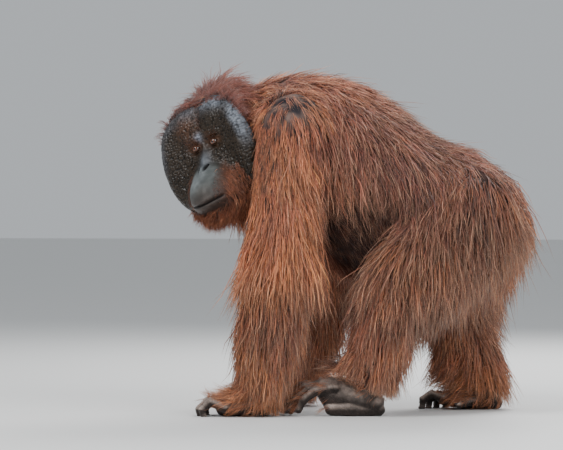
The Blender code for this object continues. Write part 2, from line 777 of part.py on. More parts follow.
def lock_path(drape, place, normal, lie, length, lift, rises):
    """The line of a lock: it follows the lie of the coat, hangs and drapes over what it meets."""
    flow = lie - normal * lie.dot(normal)
    flow = flow.normalized() if flow.length > 0.05 else lie.normalized()
    points = [place - normal * ROOT_SINK]
    point, direction, out = place.copy(), (flow + normal * (0.22 + lift)).normalized(), normal
    for share, rise in zip(LOCK_SHARES, rises):
        point = point + direction * length * share
        for _ in range(8):
            near, facing, _, distance = drape.find_nearest(point)
            outside = (point - near).dot(facing) > 0
            if outside and distance > rise + lift * 0.05:
                break
            point = point + out * 0.008
        out = (out + facing * 0.6).normalized() if outside else out
        point.z = max(point.z, LOWEST_LOCK)
        points.append(point.copy())
        direction = (direction + Vector((0, 0, -0.42)) + out * lift * 0.4).normalized()
    return points, normal


def stands_off(points, drape):
    """Whether a lock would stand out from the coat or above the back like a spike."""
    if max(point.z for point in points) > HIGHEST_LOCK:
        return True
    return any(drape.find_nearest(p)[3] > room for p, room in zip(points[1:], LOOSEST_LOCK))


def lock_mesh(points, normal, width, fatten=0.0):
    """Points and faces of one flat lock: three sided, widest near its root, and drawn out to a point."""
    verts, up = [], normal
    for i, wide in enumerate(LOCK_SHAPE):
        ahead = (points[i + 1] - points[max(i - 1, 0)]).normalized()
        side = ahead.cross(up).normalized()
        up = side.cross(ahead).normalized()
        half = width / 2 * wide + fatten
        thick = LOCK_FLATNESS * width * wide + fatten
        verts += [points[i] - side * half, points[i] + up * thick, points[i] + side * half]
    ahead = (points[-1] - points[-2]).normalized()
    verts.append(points[-1] + ahead * fatten)
    faces = [(0, 1, 2)]
    for ring in range(len(LOCK_SHAPE) - 1):
        for k in range(3):
            a, b = ring * 3 + k, ring * 3 + (k + 1) % 3
            faces += [(a, a + 3, b), (b, a + 3, b + 3)]
    base = (len(LOCK_SHAPE) - 1) * 3
    faces += [(base + k, len(verts) - 1, base + (k + 1) % 3) for k in range(3)]
    return verts, faces


def fits(lock, own, trees, made):
    """Whether the fattened lock crosses no node but its own, and no lock of another node."""
    verts, faces = lock
    tree = BVHTree.FromPolygons(verts, faces)
    corners = np.array([tuple(v) for v in verts])
    box = corners.min(0), corners.max(0)
    for name, (other, other_box) in trees.items():
        if name != own and boxes_meet(box, other_box) and tree.overlap(other):
            return False
    for name, other, other_box in made:
        if name != own and boxes_meet(box, other_box) and tree.overlap(other):
            return False
    return True


def lie_of(name, place):
    """Which way the hair lies at that place of the node."""
    if name == "head":
        local = place - EYE_POINT
        across, up = local.dot(LEFT), local.dot(UP)
        if up < -0.05:
            return Vector((0, 0, -1)) + FORWARD * 0.2
        return LEFT * across * 2 - FORWARD * 0.9 - UP * (0.3 + abs(across) * 6)
    if name == "neck":
        return Vector((0.6, place.y * 4, -0.5))
    if name == "torso":
        rump = max(0.0, place.x - 0.22)
        return Vector((0.75 - rump * 3, place.y * 3, -0.35 - abs(place.y) * 3 - rump * 6))
    if "upper_arm" in name and place.z > 0.52:
        return Vector((0.30, 0, -1))
    return Vector(LOCKS[name][0])


def may_root(name, place, trees):
    """Whether hair long enough for a lock grows there: clear of the neighbours, the face and the wrists."""
    if place.z < 0.11:
        return False
    if name == "head":
        local = place - EYE_POINT
        forward, up = local.dot(FORWARD), local.dot(UP)
        crown = forward < -0.045 and up > 0.0
        beard = up < -0.165 and forward < 0.050
        if not (crown or beard):
            return False
    for other, (tree, _) in trees.items():
        if other != name and tree.find_nearest(place, 0.014)[0] is not None:
            return False
    return True


def comb_lock(name, place, normal, rng, trees, made, drape):
    """One lock from that root, lifted and then shortened until it crosses nothing, or None."""
    _, _, length, width = LOCKS[name]
    length *= rng.uniform(0.85, 1.15)
    bend = Vector((rng.uniform(-0.2, 0.2), rng.uniform(-0.2, 0.2), 0))
    rise, tries = 1.0, LOCK_TRIES
    if name == "head":
        beard = (place - EYE_POINT).dot(UP) < 0
        rise = BEARD_RISE if beard else CROWN_RISE
        if beard:
            length, width, bend = length * BEARD_LENGTH, width * BEARD_WIDTH, bend * 0.3
    elif normal.z > BACK_SLOPE and name in ("torso", "neck"):
        rise, tries = BACK_RISE, LOCK_TRIES[:BACK_TRIES]
    lie = lie_of(name, place).normalized() + bend
    reach = min(length, place.z - LOWEST_LOCK)
    for lift, share in tries:
        rises = [step * rise for step in LOCK_RISE]
        points, up = lock_path(drape, place, normal, lie, reach * share, lift, rises)
        if stands_off(points, drape):
            continue
        if fits(lock_mesh(points, up, width, LOCK_ROOM), name, trees, made):
            return lock_mesh(points, up, width)
    return None


def grow_coat(rng):
    """Roots, bends and joins the locks of every node, from the lowest parts up."""
    trees = {name: (surface_tree(obj), box_of(obj)) for name, obj in FINISHED.items()}
    drape = whole_tree()
    made = []
    for name, (_, spacing, _, _) in LOCKS.items():
        pieces = []
        for place, normal in root_places(FINISHED[name], spacing, rng, lambda p: may_root(name, p, trees)):
            lock = comb_lock(name, place, normal, rng, trees, made, drape)
            if lock is None:
                continue
            corners = np.array([tuple(v) for v in lock[0]])
            made.append((name, BVHTree.FromPolygons(*lock), (corners.min(0), corners.max(0))))
            pieces.append(new_object("lock", *lock, "coat"))
        boolean(FINISHED[name], pieces, "UNION", "MANIFOLD")
        keep_largest(FINISHED[name])


def centre_on_footprint():
    """Moves the model so that the middle of its box stands over the origin."""
    boxes = [box_of(obj) for obj in FINISHED.values()]
    low = np.min([box[0] for box in boxes], axis=0)
    high = np.max([box[1] for box in boxes], axis=0)
    shift = Vector((-(low[0] + high[0]) / 2, -(low[1] + high[1]) / 2, 0))
    for obj in FINISHED.values():
        obj.data.transform(Matrix.Translation(shift))
    return shift


def main():
    for obj in list(bpy.data.objects):
        bpy.data.objects.remove(obj)
    make_torso()
    make_neck()
    make_head()
    make_limbs()
    make_hand("left", 0.0)
    make_hand("right", math.radians(-4))
    make_foot("left", math.radians(-2), HIGH_FOOT, HIGH_TOES, (0.140, 0.080), -8)
    make_foot("right", math.radians(4), FLAT_FOOT, FLAT_TOES, (0.126, 0.027), 20)
    grow_coat(random.Random(SEED))
    centre_on_footprint()
    for obj in FINISHED.values():
        obj.data.shade_smooth()


main()
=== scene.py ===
"""Looks of the orangutan: skin, eyes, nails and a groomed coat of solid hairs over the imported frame."""

import math

import bmesh
import bpy
import numpy as np
from mathutils import Matrix, Vector
from mathutils.bvhtree import BVHTree
from mathutils.kdtree import KDTree


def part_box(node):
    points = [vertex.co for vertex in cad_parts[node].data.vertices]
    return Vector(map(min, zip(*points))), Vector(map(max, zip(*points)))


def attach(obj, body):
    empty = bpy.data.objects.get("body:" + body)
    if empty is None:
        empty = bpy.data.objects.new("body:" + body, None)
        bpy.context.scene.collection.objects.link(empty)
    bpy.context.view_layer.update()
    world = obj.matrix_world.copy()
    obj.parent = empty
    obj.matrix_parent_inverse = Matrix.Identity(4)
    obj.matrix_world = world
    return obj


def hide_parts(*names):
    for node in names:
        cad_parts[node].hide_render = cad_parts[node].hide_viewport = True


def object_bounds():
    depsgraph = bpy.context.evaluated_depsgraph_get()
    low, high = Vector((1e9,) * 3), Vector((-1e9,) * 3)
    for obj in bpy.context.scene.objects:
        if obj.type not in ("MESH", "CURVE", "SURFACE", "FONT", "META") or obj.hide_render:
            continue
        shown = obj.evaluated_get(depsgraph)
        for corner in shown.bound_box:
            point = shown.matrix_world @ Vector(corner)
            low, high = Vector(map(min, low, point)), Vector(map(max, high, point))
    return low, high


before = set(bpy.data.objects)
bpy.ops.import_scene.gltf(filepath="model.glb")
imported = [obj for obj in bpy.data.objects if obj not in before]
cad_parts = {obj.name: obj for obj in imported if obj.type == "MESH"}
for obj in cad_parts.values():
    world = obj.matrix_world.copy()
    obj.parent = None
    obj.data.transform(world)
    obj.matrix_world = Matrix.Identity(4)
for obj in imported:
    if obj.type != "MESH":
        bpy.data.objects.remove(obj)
CAD_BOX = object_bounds()
RNG = np.random.default_rng(11)

# Sizes are in metres, in the frame that the part's source has before it centres the model: the
# animal walks towards -x, and its left side is towards -y. The joints are the source's own.
JOINTS = {
    "left_shoulder": (-0.116, -0.170, 0.728),
    "left_elbow": (-0.122, -0.262, 0.385),
    "left_wrist": (-0.176, -0.238, 0.078),
    "right_shoulder": (-0.140, 0.172, 0.728),
    "right_elbow": (-0.090, 0.255, 0.375),
    "right_wrist": (-0.156, 0.195, 0.078),
    "left_hip": (0.325, -0.105, 0.500),
    "left_knee": (0.158, -0.225, 0.345),
    "left_ankle": (0.088, -0.178, 0.082),
    "right_hip": (0.325, 0.105, 0.495),
    "right_knee": (0.235, 0.215, 0.295),
    "right_ankle": (0.345, 0.150, 0.078),
}
JOINTS = {name: Vector(place) for name, place in JOINTS.items()}

# The trunk under the coat: x, height of the back, height of the belly, and half width.
TORSO = [
    (-0.222, 0.820, 0.580, 0.085),
    (-0.160, 0.842, 0.475, 0.155),
    (-0.065, 0.842, 0.405, 0.180),
    (0.031, 0.820, 0.358, 0.198),
    (0.129, 0.760, 0.342, 0.205),
    (0.232, 0.686, 0.360, 0.195),
    (0.334, 0.650, 0.380, 0.168),
    (0.394, 0.580, 0.390, 0.125),
    (0.424, 0.515, 0.420, 0.070),
]

# Each part of a limb: the joints it runs between, and its radius at the start, middle and end.
LIMBS = {
    "upper_arm": ("shoulder", "elbow", (0.074, 0.074, 0.062)),
    "forearm": ("elbow", "wrist", (0.064, 0.064, 0.038)),
    "thigh": ("hip", "knee", (0.105, 0.092, 0.064)),
    "shank": ("knee", "ankle", (0.062, 0.058, 0.040)),
}
SIDES = ("left", "right")
REGIONS = ["torso", "neck"] + [f"{side}_{part}" for side in SIDES for part in LIMBS]
REGION_INDEX = {name: index for index, name in enumerate(REGIONS)}

# Stations of a hand and of each foot: distance ahead of the heel, half width, height of the middle
# and half depth.
PALM = [
    (-0.004, 0.034, 0.030, 0.030),
    (0.030, 0.042, 0.026, 0.025),
    (0.070, 0.047, 0.022, 0.022),
    (0.103, 0.047, 0.020, 0.020),
]
HIGH_FOOT = [
    (0.002, 0.028, 0.027, 0.028),
    (0.040, 0.035, 0.036, 0.036),
    (0.080, 0.039, 0.048, 0.043),
    (0.112, 0.042, 0.056, 0.046),
    (0.138, 0.041, 0.075, 0.029),
]
FLAT_FOOT = [
    (0.002, 0.026, 0.026, 0.027),
    (0.040, 0.034, 0.029, 0.030),
    (0.080, 0.040, 0.029, 0.029),
    (0.115, 0.042, 0.027, 0.024),
    (0.132, 0.042, 0.026, 0.019),
]
# Digits: lengths of the phalanges, the bends between them in degrees, and the radii at their ends.
FINGERS = ((0.046, 0.034, 0.025), (68, 60), (0.0125, 0.0122, 0.0108, 0.0085))
HIGH_TOES = ((0.058, 0.047, 0.034), (28, 30), (0.0132, 0.0128, 0.0114, 0.0092))
FLAT_TOES = ((0.036, 0.028, 0.021), (52, 56), (0.0122, 0.0118, 0.0106, 0.0088))
THUMB = ((0.032, 0.024), (8,), (0.0125, 0.0105, 0.0080))
BIG_TOE = ((0.034, 0.022), (10,), (0.0145, 0.0120, 0.0090))

# The head: the point midway between the eyes, its three turns, and the outline of the bare face,
# across and up from that point.
EYE_POINT = Vector((-0.341, -0.150, 0.678))
HEAD_TURN = math.radians(67)
HEAD_NOD = math.radians(3)
HEAD_TILT = math.radians(19)
FACE_OUTLINE = [
    (0.000, 0.112), (0.035, 0.117), (0.070, 0.113), (0.100, 0.088), (0.124, 0.048),
    (0.138, 0.004), (0.143, -0.040), (0.137, -0.080), (0.122, -0.120), (0.093, -0.151),
    (0.066, -0.172), (0.040, -0.190), (0.000, -0.197),
]
FACE_CENTRE = np.array((0.0, -0.025))

# The line of the mouth is an arc round the face's centre.
MOUTH_RADIUS = 0.130
MOUTH_HALF_ANGLE = math.radians(22)
FLANGE_THICKNESS = 0.036
PEBBLE_SIZE = 0.0068
PEBBLE_HEIGHT = 0.0030
EYE_RADIUS = 0.0120
EYE_ACROSS = 0.029
EYE_DEPTH = -0.0125
CORNEA_BULGE = 0.00045


def head_axes():
    """The head's forward, left and up directions."""
    turned = Matrix.Rotation(HEAD_TURN, 3, "Z")
    forward = turned @ Vector((-math.cos(HEAD_NOD), 0, -math.sin(HEAD_NOD)))
    left = Matrix.Rotation(HEAD_TILT, 3, forward) @ (turned @ Vector((0, -1, 0)))
    return forward, left, forward.cross(left)


FORWARD, LEFT, UP = head_axes()
HEAD_ROWS = np.array((tuple(LEFT), tuple(FORWARD), tuple(UP)))
EYE_ROW = np.array(tuple(EYE_POINT))


def head_point(across, forward, up):
    """A point of the head frame, whose origin is midway between the eyes."""
    return EYE_POINT + LEFT * across + FORWARD * forward + UP * up


def head_points(across, forward, up):
    """The same for arrays."""
    return EYE_ROW + np.stack(np.broadcast_arrays(across, forward, up), axis=-1) @ HEAD_ROWS


def in_head(points):
    """Across, forward and up in the head frame for rows of points."""
    return (points - EYE_ROW) @ HEAD_ROWS.T


# How far the part's source moved the model to centre it, from where the left eye lies now.
low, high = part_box("left_eye")
SHIFT = (low + high) / 2 - head_point(EYE_ACROSS, EYE_DEPTH, 0)
OFFSET = np.array(tuple(SHIFT))


# Small numeric helpers.


def ease(x):
    """0 below 0, 1 above 1 and an even ease between."""
    x = np.clip(x, 0.0, 1.0)
    return x * x * (3 - 2 * x)


def bell(x, width):
    """A bell curve of height 1 at x = 0."""
    return np.exp(-((x / width) ** 2))


def unit(rows):
    """Rows scaled to length 1."""
    return rows / np.maximum(np.linalg.norm(rows, axis=-1, keepdims=True), 1e-9)


def linear(red, green, blue):
    """A display colour from 0 to 255 as linear light."""
    values = np.array((red, green, blue)) / 255
    return np.where(values <= 0.04045, values / 12.92, ((values + 0.055) / 1.055) ** 2.4)


def hashed(cells, salt):
    """An even spread of numbers from 0 to 1 for rows of whole cell numbers."""
    mixed = np.sin(cells @ np.array([127.1, 311.7, 74.7][: cells.shape[1]]) + salt * 19.19) * 43758.5453
    return mixed - np.floor(mixed)


def pebbles(points, size, salt=0.0):
    """How near each point is to the top of its pebble, 1 at the top and 0 in the cracks."""
    cell = np.floor(points / size)
    nearest = np.full(len(points), 9.0)
    dims = points.shape[1]
    for step in np.ndindex(*(3,) * dims):
        other = cell + np.array(step) - 1
        jitter = np.stack([hashed(other, salt + axis) for axis in range(dims)], axis=1)
        gap = np.linalg.norm(points / size - other - 0.15 - jitter * 0.7, axis=1)
        nearest = np.minimum(nearest, gap)
    return np.clip(1 - (nearest / 0.75) ** 2, 0, 1)


def smooth_noise(points, size, salt=0.0):
    """Soft noise from 0 to 1 over rows of 3-D points."""
    scaled = points / size
    cell = np.floor(scaled)
    share = ease(scaled - cell)
    total = np.zeros(len(points))
    for step in np.ndindex(2, 2, 2):
        corner = np.array(step)
        weight = np.prod(np.where(corner == 1, share, 1 - share), axis=1)
        total += weight * hashed(cell + corner, salt)
    return total


# Meshes.


def new_object(name, data):
    """An object in the scene for a mesh, a light or a camera."""
    obj = bpy.data.objects.new(name, data)
    bpy.context.scene.collection.objects.link(obj)
    return obj


def face_outwards(mesh):
    """Turns the faces of a mesh of closed shapes so that they all face outwards."""
    bm = bmesh.new()
    bm.from_mesh(mesh)
    bmesh.ops.recalc_face_normals(bm, faces=bm.faces)
    bm.to_mesh(mesh)
    bm.free()


def add_piece(name, points, faces, material_):
    """A smoothly shaded object in the row frame that rides on the root body."""
    mesh = bpy.data.meshes.new(name)
    points = np.asarray(points, float) + OFFSET
    if isinstance(faces, np.ndarray):
        count, sides = faces.shape
        mesh.vertices.add(len(points))
        mesh.vertices.foreach_set("co", points.ravel())
        mesh.loops.add(count * sides)
        mesh.loops.foreach_set("vertex_index", faces.astype(np.int32).ravel())
        mesh.polygons.add(count)
        mesh.polygons.foreach_set("loop_start", np.arange(0, count * sides, sides, dtype=np.int32))
        mesh.update(calc_edges=True)
        mesh.validate()
    else:
        mesh.from_pydata([tuple(p) for p in points], [], faces)
        mesh.update()
    mesh.shade_smooth()
    mesh.materials.append(material_)
    obj = new_object(name, mesh)
    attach(obj, "root")
    return obj


def paint(obj, colours, relief=1.0):
    """A colour for each vertex, named tone; its alpha says how strong the pebbles are there."""
    layer = obj.data.color_attributes.new("tone", "FLOAT_COLOR", "POINT")
    rows = np.empty((len(obj.data.vertices), 4), np.float32)
    rows[:, :3] = colours
    rows[:, 3] = relief
    layer.data.foreach_set("color", rows.ravel())


def vertex_rows(obj):
    """Vertex places of an object, in the frame before centring."""
    rows = np.empty(len(obj.data.vertices) * 3)
    obj.data.vertices.foreach_get("co", rows)
    return rows.reshape(-1, 3) - OFFSET


def set_rows(obj, rows):
    """Writes vertex places given in the frame before centring."""
    obj.data.vertices.foreach_set("co", (rows + OFFSET).ravel())
    obj.data.update()


def normal_rows(obj):
    """Vertex normals of an object."""
    rows = np.empty(len(obj.data.vertices) * 3)
    obj.data.vertex_normals.foreach_get("vector", rows)
    return rows.reshape(-1, 3)


def band_faces(count, sides, start=0):
    """The faces between rings of that many sides."""
    faces = []
    for base in range(start, start + (count - 1) * sides, sides):
        for k in range(sides):
            a, b = base + k, base + (k + 1) % sides
            faces.append((a, b, b + sides, a + sides))
    return faces


def ring_faces(count, sides, first_point, last_point):
    """Faces of a closed tube: rings of that many sides with a point closing each end."""
    faces = [(first_point, (k + 1) % sides, k) for k in range(sides)] + band_faces(count, sides)
    base = (count - 1) * sides
    faces += [(base + k, base + (k + 1) % sides, last_point) for k in range(sides)]
    return faces


def joined(shapes):
    """The points and the faces of several shapes as one."""
    points, faces = [], []
    for shape_points, shape_faces in shapes:
        start = len(points)
        points += [tuple(p) for p in shape_points]
        faces += [tuple(i + start for i in face) for face in shape_faces]
    return points, faces


def outward(points, faces):
    """The faces of a closed shape, turned round where they face inwards."""
    rows = np.array([tuple(p) for p in points], float)
    fans = np.array([(face[0], b, c) for face in faces for b, c in zip(face[1:], face[2:])])
    a, b, c = rows[fans].transpose(1, 0, 2)
    if np.sum(a * np.cross(b, c)) < 0:
        return [tuple(reversed(face)) for face in faces]
    return faces


CAP_TURNS = (0.5, 0.9, 1.2)


def tube(centres, radii, sides, across, cap=1.0, facing=None):
    """Points and faces of a closed tube with rounded ends; radii are across, and square to that.

    Its rings face along it, or all the same way where that is given.
    """
    centres = [Vector(c) for c in centres]
    across = Vector(across)
    rings = []
    for i, (centre, (wide, deep)) in enumerate(zip(centres, radii)):
        ahead = (centres[min(i + 1, len(centres) - 1)] - centres[max(i - 1, 0)]).normalized()
        ahead = facing or ahead
        side = (across - ahead * across.dot(ahead)).normalized()
        rings.append((centre, ahead, side, ahead.cross(side), wide, deep))

    def end_ring(ring, way, turn):
        centre, ahead, side, up, wide, deep = ring
        place = centre + ahead * way * (wide + deep) / 2 * cap * math.sin(turn)
        return place, ahead, side, up, wide * math.cos(turn), deep * math.cos(turn)

    full = [end_ring(rings[0], -1, turn) for turn in reversed(CAP_TURNS)]
    full += rings + [end_ring(rings[-1], 1, turn) for turn in CAP_TURNS]
    points = []
    for centre, ahead, side, up, wide, deep in full:
        for k in range(sides):
            angle = 2 * math.pi * k / sides
            points.append(centre + side * wide * math.cos(angle) + up * deep * math.sin(angle))
    first, last = rings[0], rings[-1]
    points.append(first[0] - first[1] * (first[4] + first[5]) / 2 * cap)
    points.append(last[0] + last[1] * (last[4] + last[5]) / 2 * cap)
    count = len(full) * sides
    return points, ring_faces(len(full), sides, count, count + 1)


def ellipsoid(centre, axes, segments=24, rings=16):
    """Points and faces of a closed ellipsoid."""
    points = []
    for i in range(1, rings):
        lift = math.pi * i / rings - math.pi / 2
        for k in range(segments):
            turn = 2 * math.pi * k / segments
            flat = axes[0] * math.cos(turn) + axes[1] * math.sin(turn)
            points.append(centre + flat * math.cos(lift) + axes[2] * math.sin(lift))
    points += [centre - axes[2], centre + axes[2]]
    count = (rings - 1) * segments
    return points, ring_faces(rings - 1, segments, count, count + 1)


def curve_through(values, count):
    """Rows of numbers drawn as smooth curves, read at that many even places."""
    rows = np.array(values, float)
    out = []
    for t in np.linspace(0, len(rows) - 1, count):
        i = min(int(t), len(rows) - 2)
        f = t - i
        a, b = rows[i], rows[i + 1]
        slope_a = (b - rows[max(i - 1, 0)]) / 2
        slope_b = (rows[min(i + 2, len(rows) - 1)] - a) / 2
        out.append(
            a * (2 * f**3 - 3 * f**2 + 1)
            + slope_a * (f**3 - 2 * f**2 + f)
            + b * (3 * f**2 - 2 * f**3)
            + slope_b * (f**3 - f**2)
        )
    return out


def fused(name, shapes, voxel, rounds, material_):
    """One closed skin round all the shapes, evenly meshed and smoothed."""
    points, faces = joined(shapes)
    mesh = bpy.data.meshes.new(name)
    mesh.from_pydata(points, [], faces)
    face_outwards(mesh)
    raw = new_object(name + "_raw", mesh)
    remesh = raw.modifiers.new("remesh", "REMESH")
    remesh.mode = "VOXEL"
    remesh.voxel_size = voxel
    soften = raw.modifiers.new("soften", "SMOOTH")
    soften.factor = 0.5
    soften.iterations = rounds
    graph = bpy.context.evaluated_depsgraph_get()
    made = bpy.data.meshes.new_from_object(raw.evaluated_get(graph))
    bpy.data.objects.remove(raw)
    made.transform(Matrix.Translation(SHIFT))
    made.materials.clear()
    made.materials.append(material_)
    made.shade_smooth()
    obj = new_object(name, made)
    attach(obj, "root")
    return obj


# Materials.


class Look:
    """A Principled material that takes its tone from the mesh, and short ways to add nodes to it."""

    def __init__(self, name, roughness, specular=0.5):
        self.material = bpy.data.materials.new(name)
        self.material.use_nodes = True
        self.nodes = self.material.node_tree.nodes
        self.links = self.material.node_tree.links
        self.shade({"Roughness": roughness, "Specular IOR Level": specular})
        tone = self.add("ShaderNodeAttribute", attribute_name="tone")
        self.colour, self.relief = tone.outputs["Color"], tone.outputs["Alpha"]
        self.place = self.add("ShaderNodeTexCoord").outputs["Object"]

    def feed(self, node, inputs):
        """Sets the inputs of a node, each to a number or to the output of another node."""
        for name, value in inputs.items():
            if isinstance(value, float):
                node.inputs[name].default_value = value
            else:
                self.links.new(value, node.inputs[name])

    def shade(self, inputs):
        """Sets inputs of the shader itself."""
        self.feed(self.nodes["Principled BSDF"], inputs)

    def add(self, kind, inputs=(), **settings):
        """A new node with its settings and inputs."""
        node = self.nodes.new(kind)
        for name, value in settings.items():
            setattr(node, name, value)
        self.feed(node, dict(inputs))
        return node

    def noise(self, scale, detail):
        """Noise in object space, from about 0.3 to 0.7."""
        inputs = {"Vector": self.place, "Scale": scale, "Detail": detail}
        return self.add("ShaderNodeTexNoise", inputs).outputs["Fac"]

    def mapped(self, value, low_in, high_in, low_out, high_out):
        """A value moved from one range to another."""
        inputs = {"Value": value, "From Min": low_in, "From Max": high_in}
        inputs.update({"To Min": low_out, "To Max": high_out})
        return self.add("ShaderNodeMapRange", inputs).outputs["Result"]

    def result(self, operation, *values):
        """The result of a sum or product."""
        node = self.add("ShaderNodeMath", enumerate(values), operation=operation)
        return node.outputs["Value"]

    def tinted(self, colour, factor):
        """A colour made lighter and darker by a value around 1."""
        grey = self.add("ShaderNodeCombineColor", dict.fromkeys(("Red", "Green", "Blue"), factor))
        inputs = {"Factor": 1.0, 6: colour, 7: grey.outputs["Color"]}
        return self.add("ShaderNodeMix", inputs, data_type="RGBA", blend_type="MULTIPLY").outputs[2]


DULLER_UNPEBBLED = 0.20


def hide_material(name, pebble_scale, bump_distance, roughness):
    """Bare leathery skin: pebbles where the mesh asks for them, with painted shade in their cracks, fine
    wrinkles, and uneven gloss.
    """
    look = Look(name, roughness, 0.24)
    inputs = {"Vector": look.place, "Scale": pebble_scale, "Smoothness": 0.3}
    cells = look.add("ShaderNodeTexVoronoi", inputs, feature="SMOOTH_F1")
    mottle, fine = look.noise(38.0, 5.0), look.noise(520.0, 4.0)
    pebble = look.mapped(cells.outputs["Distance"], 0.05, 0.62, 1.0, 0.0)
    strength = look.result("MULTIPLY", pebble, look.relief)
    colour = look.tinted(look.colour, look.mapped(mottle, 0.3, 0.7, 0.78, 1.22))
    # Painted shade in the pebbles' cracks and painted highlight on their tops.
    colour = look.tinted(colour, look.result("MULTIPLY_ADD", strength, 0.30, 0.88))
    height = look.result("MULTIPLY_ADD", fine, 0.40, strength)
    bump = look.add("ShaderNodeBump", {"Height": height, "Strength": 0.8, "Distance": bump_distance})
    uneven = look.mapped(mottle, 0.25, 0.75, -0.07, 0.13)
    by_relief = look.mapped(look.relief, 0.0, 1.0, roughness + DULLER_UNPEBBLED, roughness)
    look.shade({"Base Color": colour, "Normal": bump.outputs["Normal"]})
    look.shade({"Roughness": look.result("ADD", uneven, by_relief)})
    return look.material


def coat_material(name):
    """Hair: its tone from the mesh, with fine streaks, and a soft gloss."""
    look = Look(name, 0.5, 0.35)
    streaks = look.noise(90.0, 2.0)
    colour = look.tinted(look.colour, look.mapped(streaks, 0.3, 0.7, 0.80, 1.22))
    look.shade({"Base Color": colour, "Roughness": look.mapped(streaks, 0.3, 0.7, 0.42, 0.62)})
    look.shade({"Sheen Weight": 0.25, "Sheen Roughness": 0.45})
    return look.material


def wet_material(name, roughness):
    """Wet or horny surfaces: a clear gloss over the mesh's own tone."""
    look = Look(name, roughness)
    factor = look.mapped(look.noise(600.0, 3.0), 0.3, 0.7, 0.82, 1.18)
    colour = look.tinted(look.colour, factor)
    look.shade({"Base Color": colour, "Coat Weight": 0.8, "Coat Roughness": 0.05})
    return look.material


FACE_HIDE = hide_material("face_hide", 380.0, 0.0005, 0.24)
BODY_HIDE = hide_material("body_hide", 170.0, 0.0010, 0.55)
HAND_HIDE = hide_material("hand_hide", 300.0, 0.0016, 0.38)
COAT = coat_material("coat_hair")
EYE = wet_material("eye_wet", 0.10)
NAIL = wet_material("nail_horn", 0.35)


# The face, as a height over the plane of the eyes.

# Rounded rises and hollows, alike on both sides: height, place and reach across, place and reach up.
FORM_MOUNDS = (
    (0.014, 0.112, 0.030, -0.010, 0.110),  # swell of the flanges
    (0.011, 0.045, 0.030, 0.072, 0.034),  # cushions of the forehead
    (0.013, 0.000, 0.012, -0.038, 0.030),  # bridge of the nose
    (0.006, 0.030, 0.026, 0.024, 0.010),  # brow
    (-0.013, EYE_ACROSS, 0.022, 0.000, 0.017),  # eye sockets
)
DETAIL_MOUNDS = (
    (0.0010, 0.000, 0.0035, -0.064, 0.010),  # between the nostrils
    (0.0030, 0.000, 0.0190, -0.064, 0.012),  # nose
    (-0.0018, 0.010, 0.0018, 0.020, 0.012),  # frown lines
)
# The groove of the mouth and the lips beside it, as bands along its line: height, distance
# outwards, and width.
LIP_BANDS = (
    (-0.0100, 0.000, 0.0021),
    (0.0026, -0.007, 0.0050),
    (0.0040, 0.010, 0.0065),
    (-0.0034, 0.022, 0.0060),
)


def mounds(side, up, rows):
    """The rises and hollows of a table, summed."""
    return sum(rise * bell(side - x, wide) * bell(up - z, tall) for rise, x, wide, z, tall in rows)


def face_noise(across, up, shift, size, salt):
    """Soft noise over the plane of the face, from 0 to 1."""
    return smooth_noise(np.stack((across, up, 0 * up), axis=1) + shift, size, salt)


def muzzle(across, up):
    """The snout: a dome with its crest over the upper lip."""
    crest, height = -0.135, 0.094
    reach_up, reach_down, reach_side = 0.085, 0.062, 0.072
    vertical = (up - crest) / np.where(up > crest, reach_up, reach_down)
    away = np.abs(across / reach_side) ** 2.3 + vertical**2
    return height * np.exp(-1.5 * away**1.3)


def mouth_polar(across, up):
    """Distance outwards from the line of the mouth, and the share of its half length, at each place."""
    x, z = across - FACE_CENTRE[0], up - FACE_CENTRE[1]
    return np.hypot(x, z) - MOUTH_RADIUS, np.abs(np.arctan2(x, -z)) / MOUTH_HALF_ANGLE


def nostril_share(across, up):
    """1 in the middle of each nostril, 0 at its edge and less outside."""
    middle_across, middle_up, turn = 0.0100, -0.0610, math.radians(28)
    half_width, half_length = 0.0060, 0.0092
    x, z = np.abs(across) - middle_across, up - middle_up
    out, along = x * math.cos(turn) - z * math.sin(turn), x * math.sin(turn) + z * math.cos(turn)
    return 1 - (out / half_width) ** 2 - (along / half_length) ** 2


def face_form(across, up):
    """The form that the solids have too, without the eyes and the mouth."""
    height = -0.004 + muzzle(across, up) - 0.020 * ease((up - 0.045) / 0.070)
    height -= 0.004 * bell(across, 0.010) * ease((up - 0.025) / 0.02)
    return height + mounds(np.abs(across), up, FORM_MOUNDS)


def face_details(across, up):
    """Lips, nostrils, folds and wrinkles over the form."""
    off, share = mouth_polar(across, up)
    inside = 1 - ease((share - 0.86) / 0.24)
    height = sum(rise * bell(off - place, width) for rise, place, width in LIP_BANDS) * inside
    height += mounds(np.abs(across), up, DETAIL_MOUNDS)
    pit = nostril_share(across, up)
    height -= 0.0110 * ease(pit * 1.6)
    height += 0.0022 * bell(pit + 0.55, 0.50) * ease((up + 0.087) / 0.02)
    crease = across + 0.004 * np.sin(up * 45)
    height -= 0.0022 * bell(crease, 0.0040) * ease((up - 0.030) / 0.015) * ease((0.105 - up) / 0.02)
    lip = bell(up + 0.122, 0.034) * bell(across, 0.056)
    height += 0.0010 * lip * (face_noise(across, up * 0.22, 1, 0.0032, 6.0) - 0.5)
    nose_fold = ease((muzzle(across, up) - 0.012) / 0.02) * bell(up + 0.076, 0.026)
    height += 0.0016 * nose_fold * (face_noise(across * 0.25, up, 2, 0.0040, 7.0) - 0.5)
    fold = np.hypot(across * 0.9, up + 0.118) - 0.068
    height -= 0.0035 * bell(fold, 0.005) * ease((0.0 - up) / 0.06) * ease((up + 0.16) / 0.03)
    return height


def pebble_mask(across, up):
    """Where the hide is pebbled: the flanges and the forehead, not the muzzle or the lids."""
    side = np.abs(across)
    smooth_muzzle = ease((muzzle(across, up) - 0.010) / 0.018)
    near_eye = bell(side - EYE_ACROSS, 0.018) * bell(up, 0.015)
    nose = bell(across, 0.018) * bell(up + 0.030, 0.030)
    return np.clip(1 - smooth_muzzle - near_eye - nose, 0.03, 1)


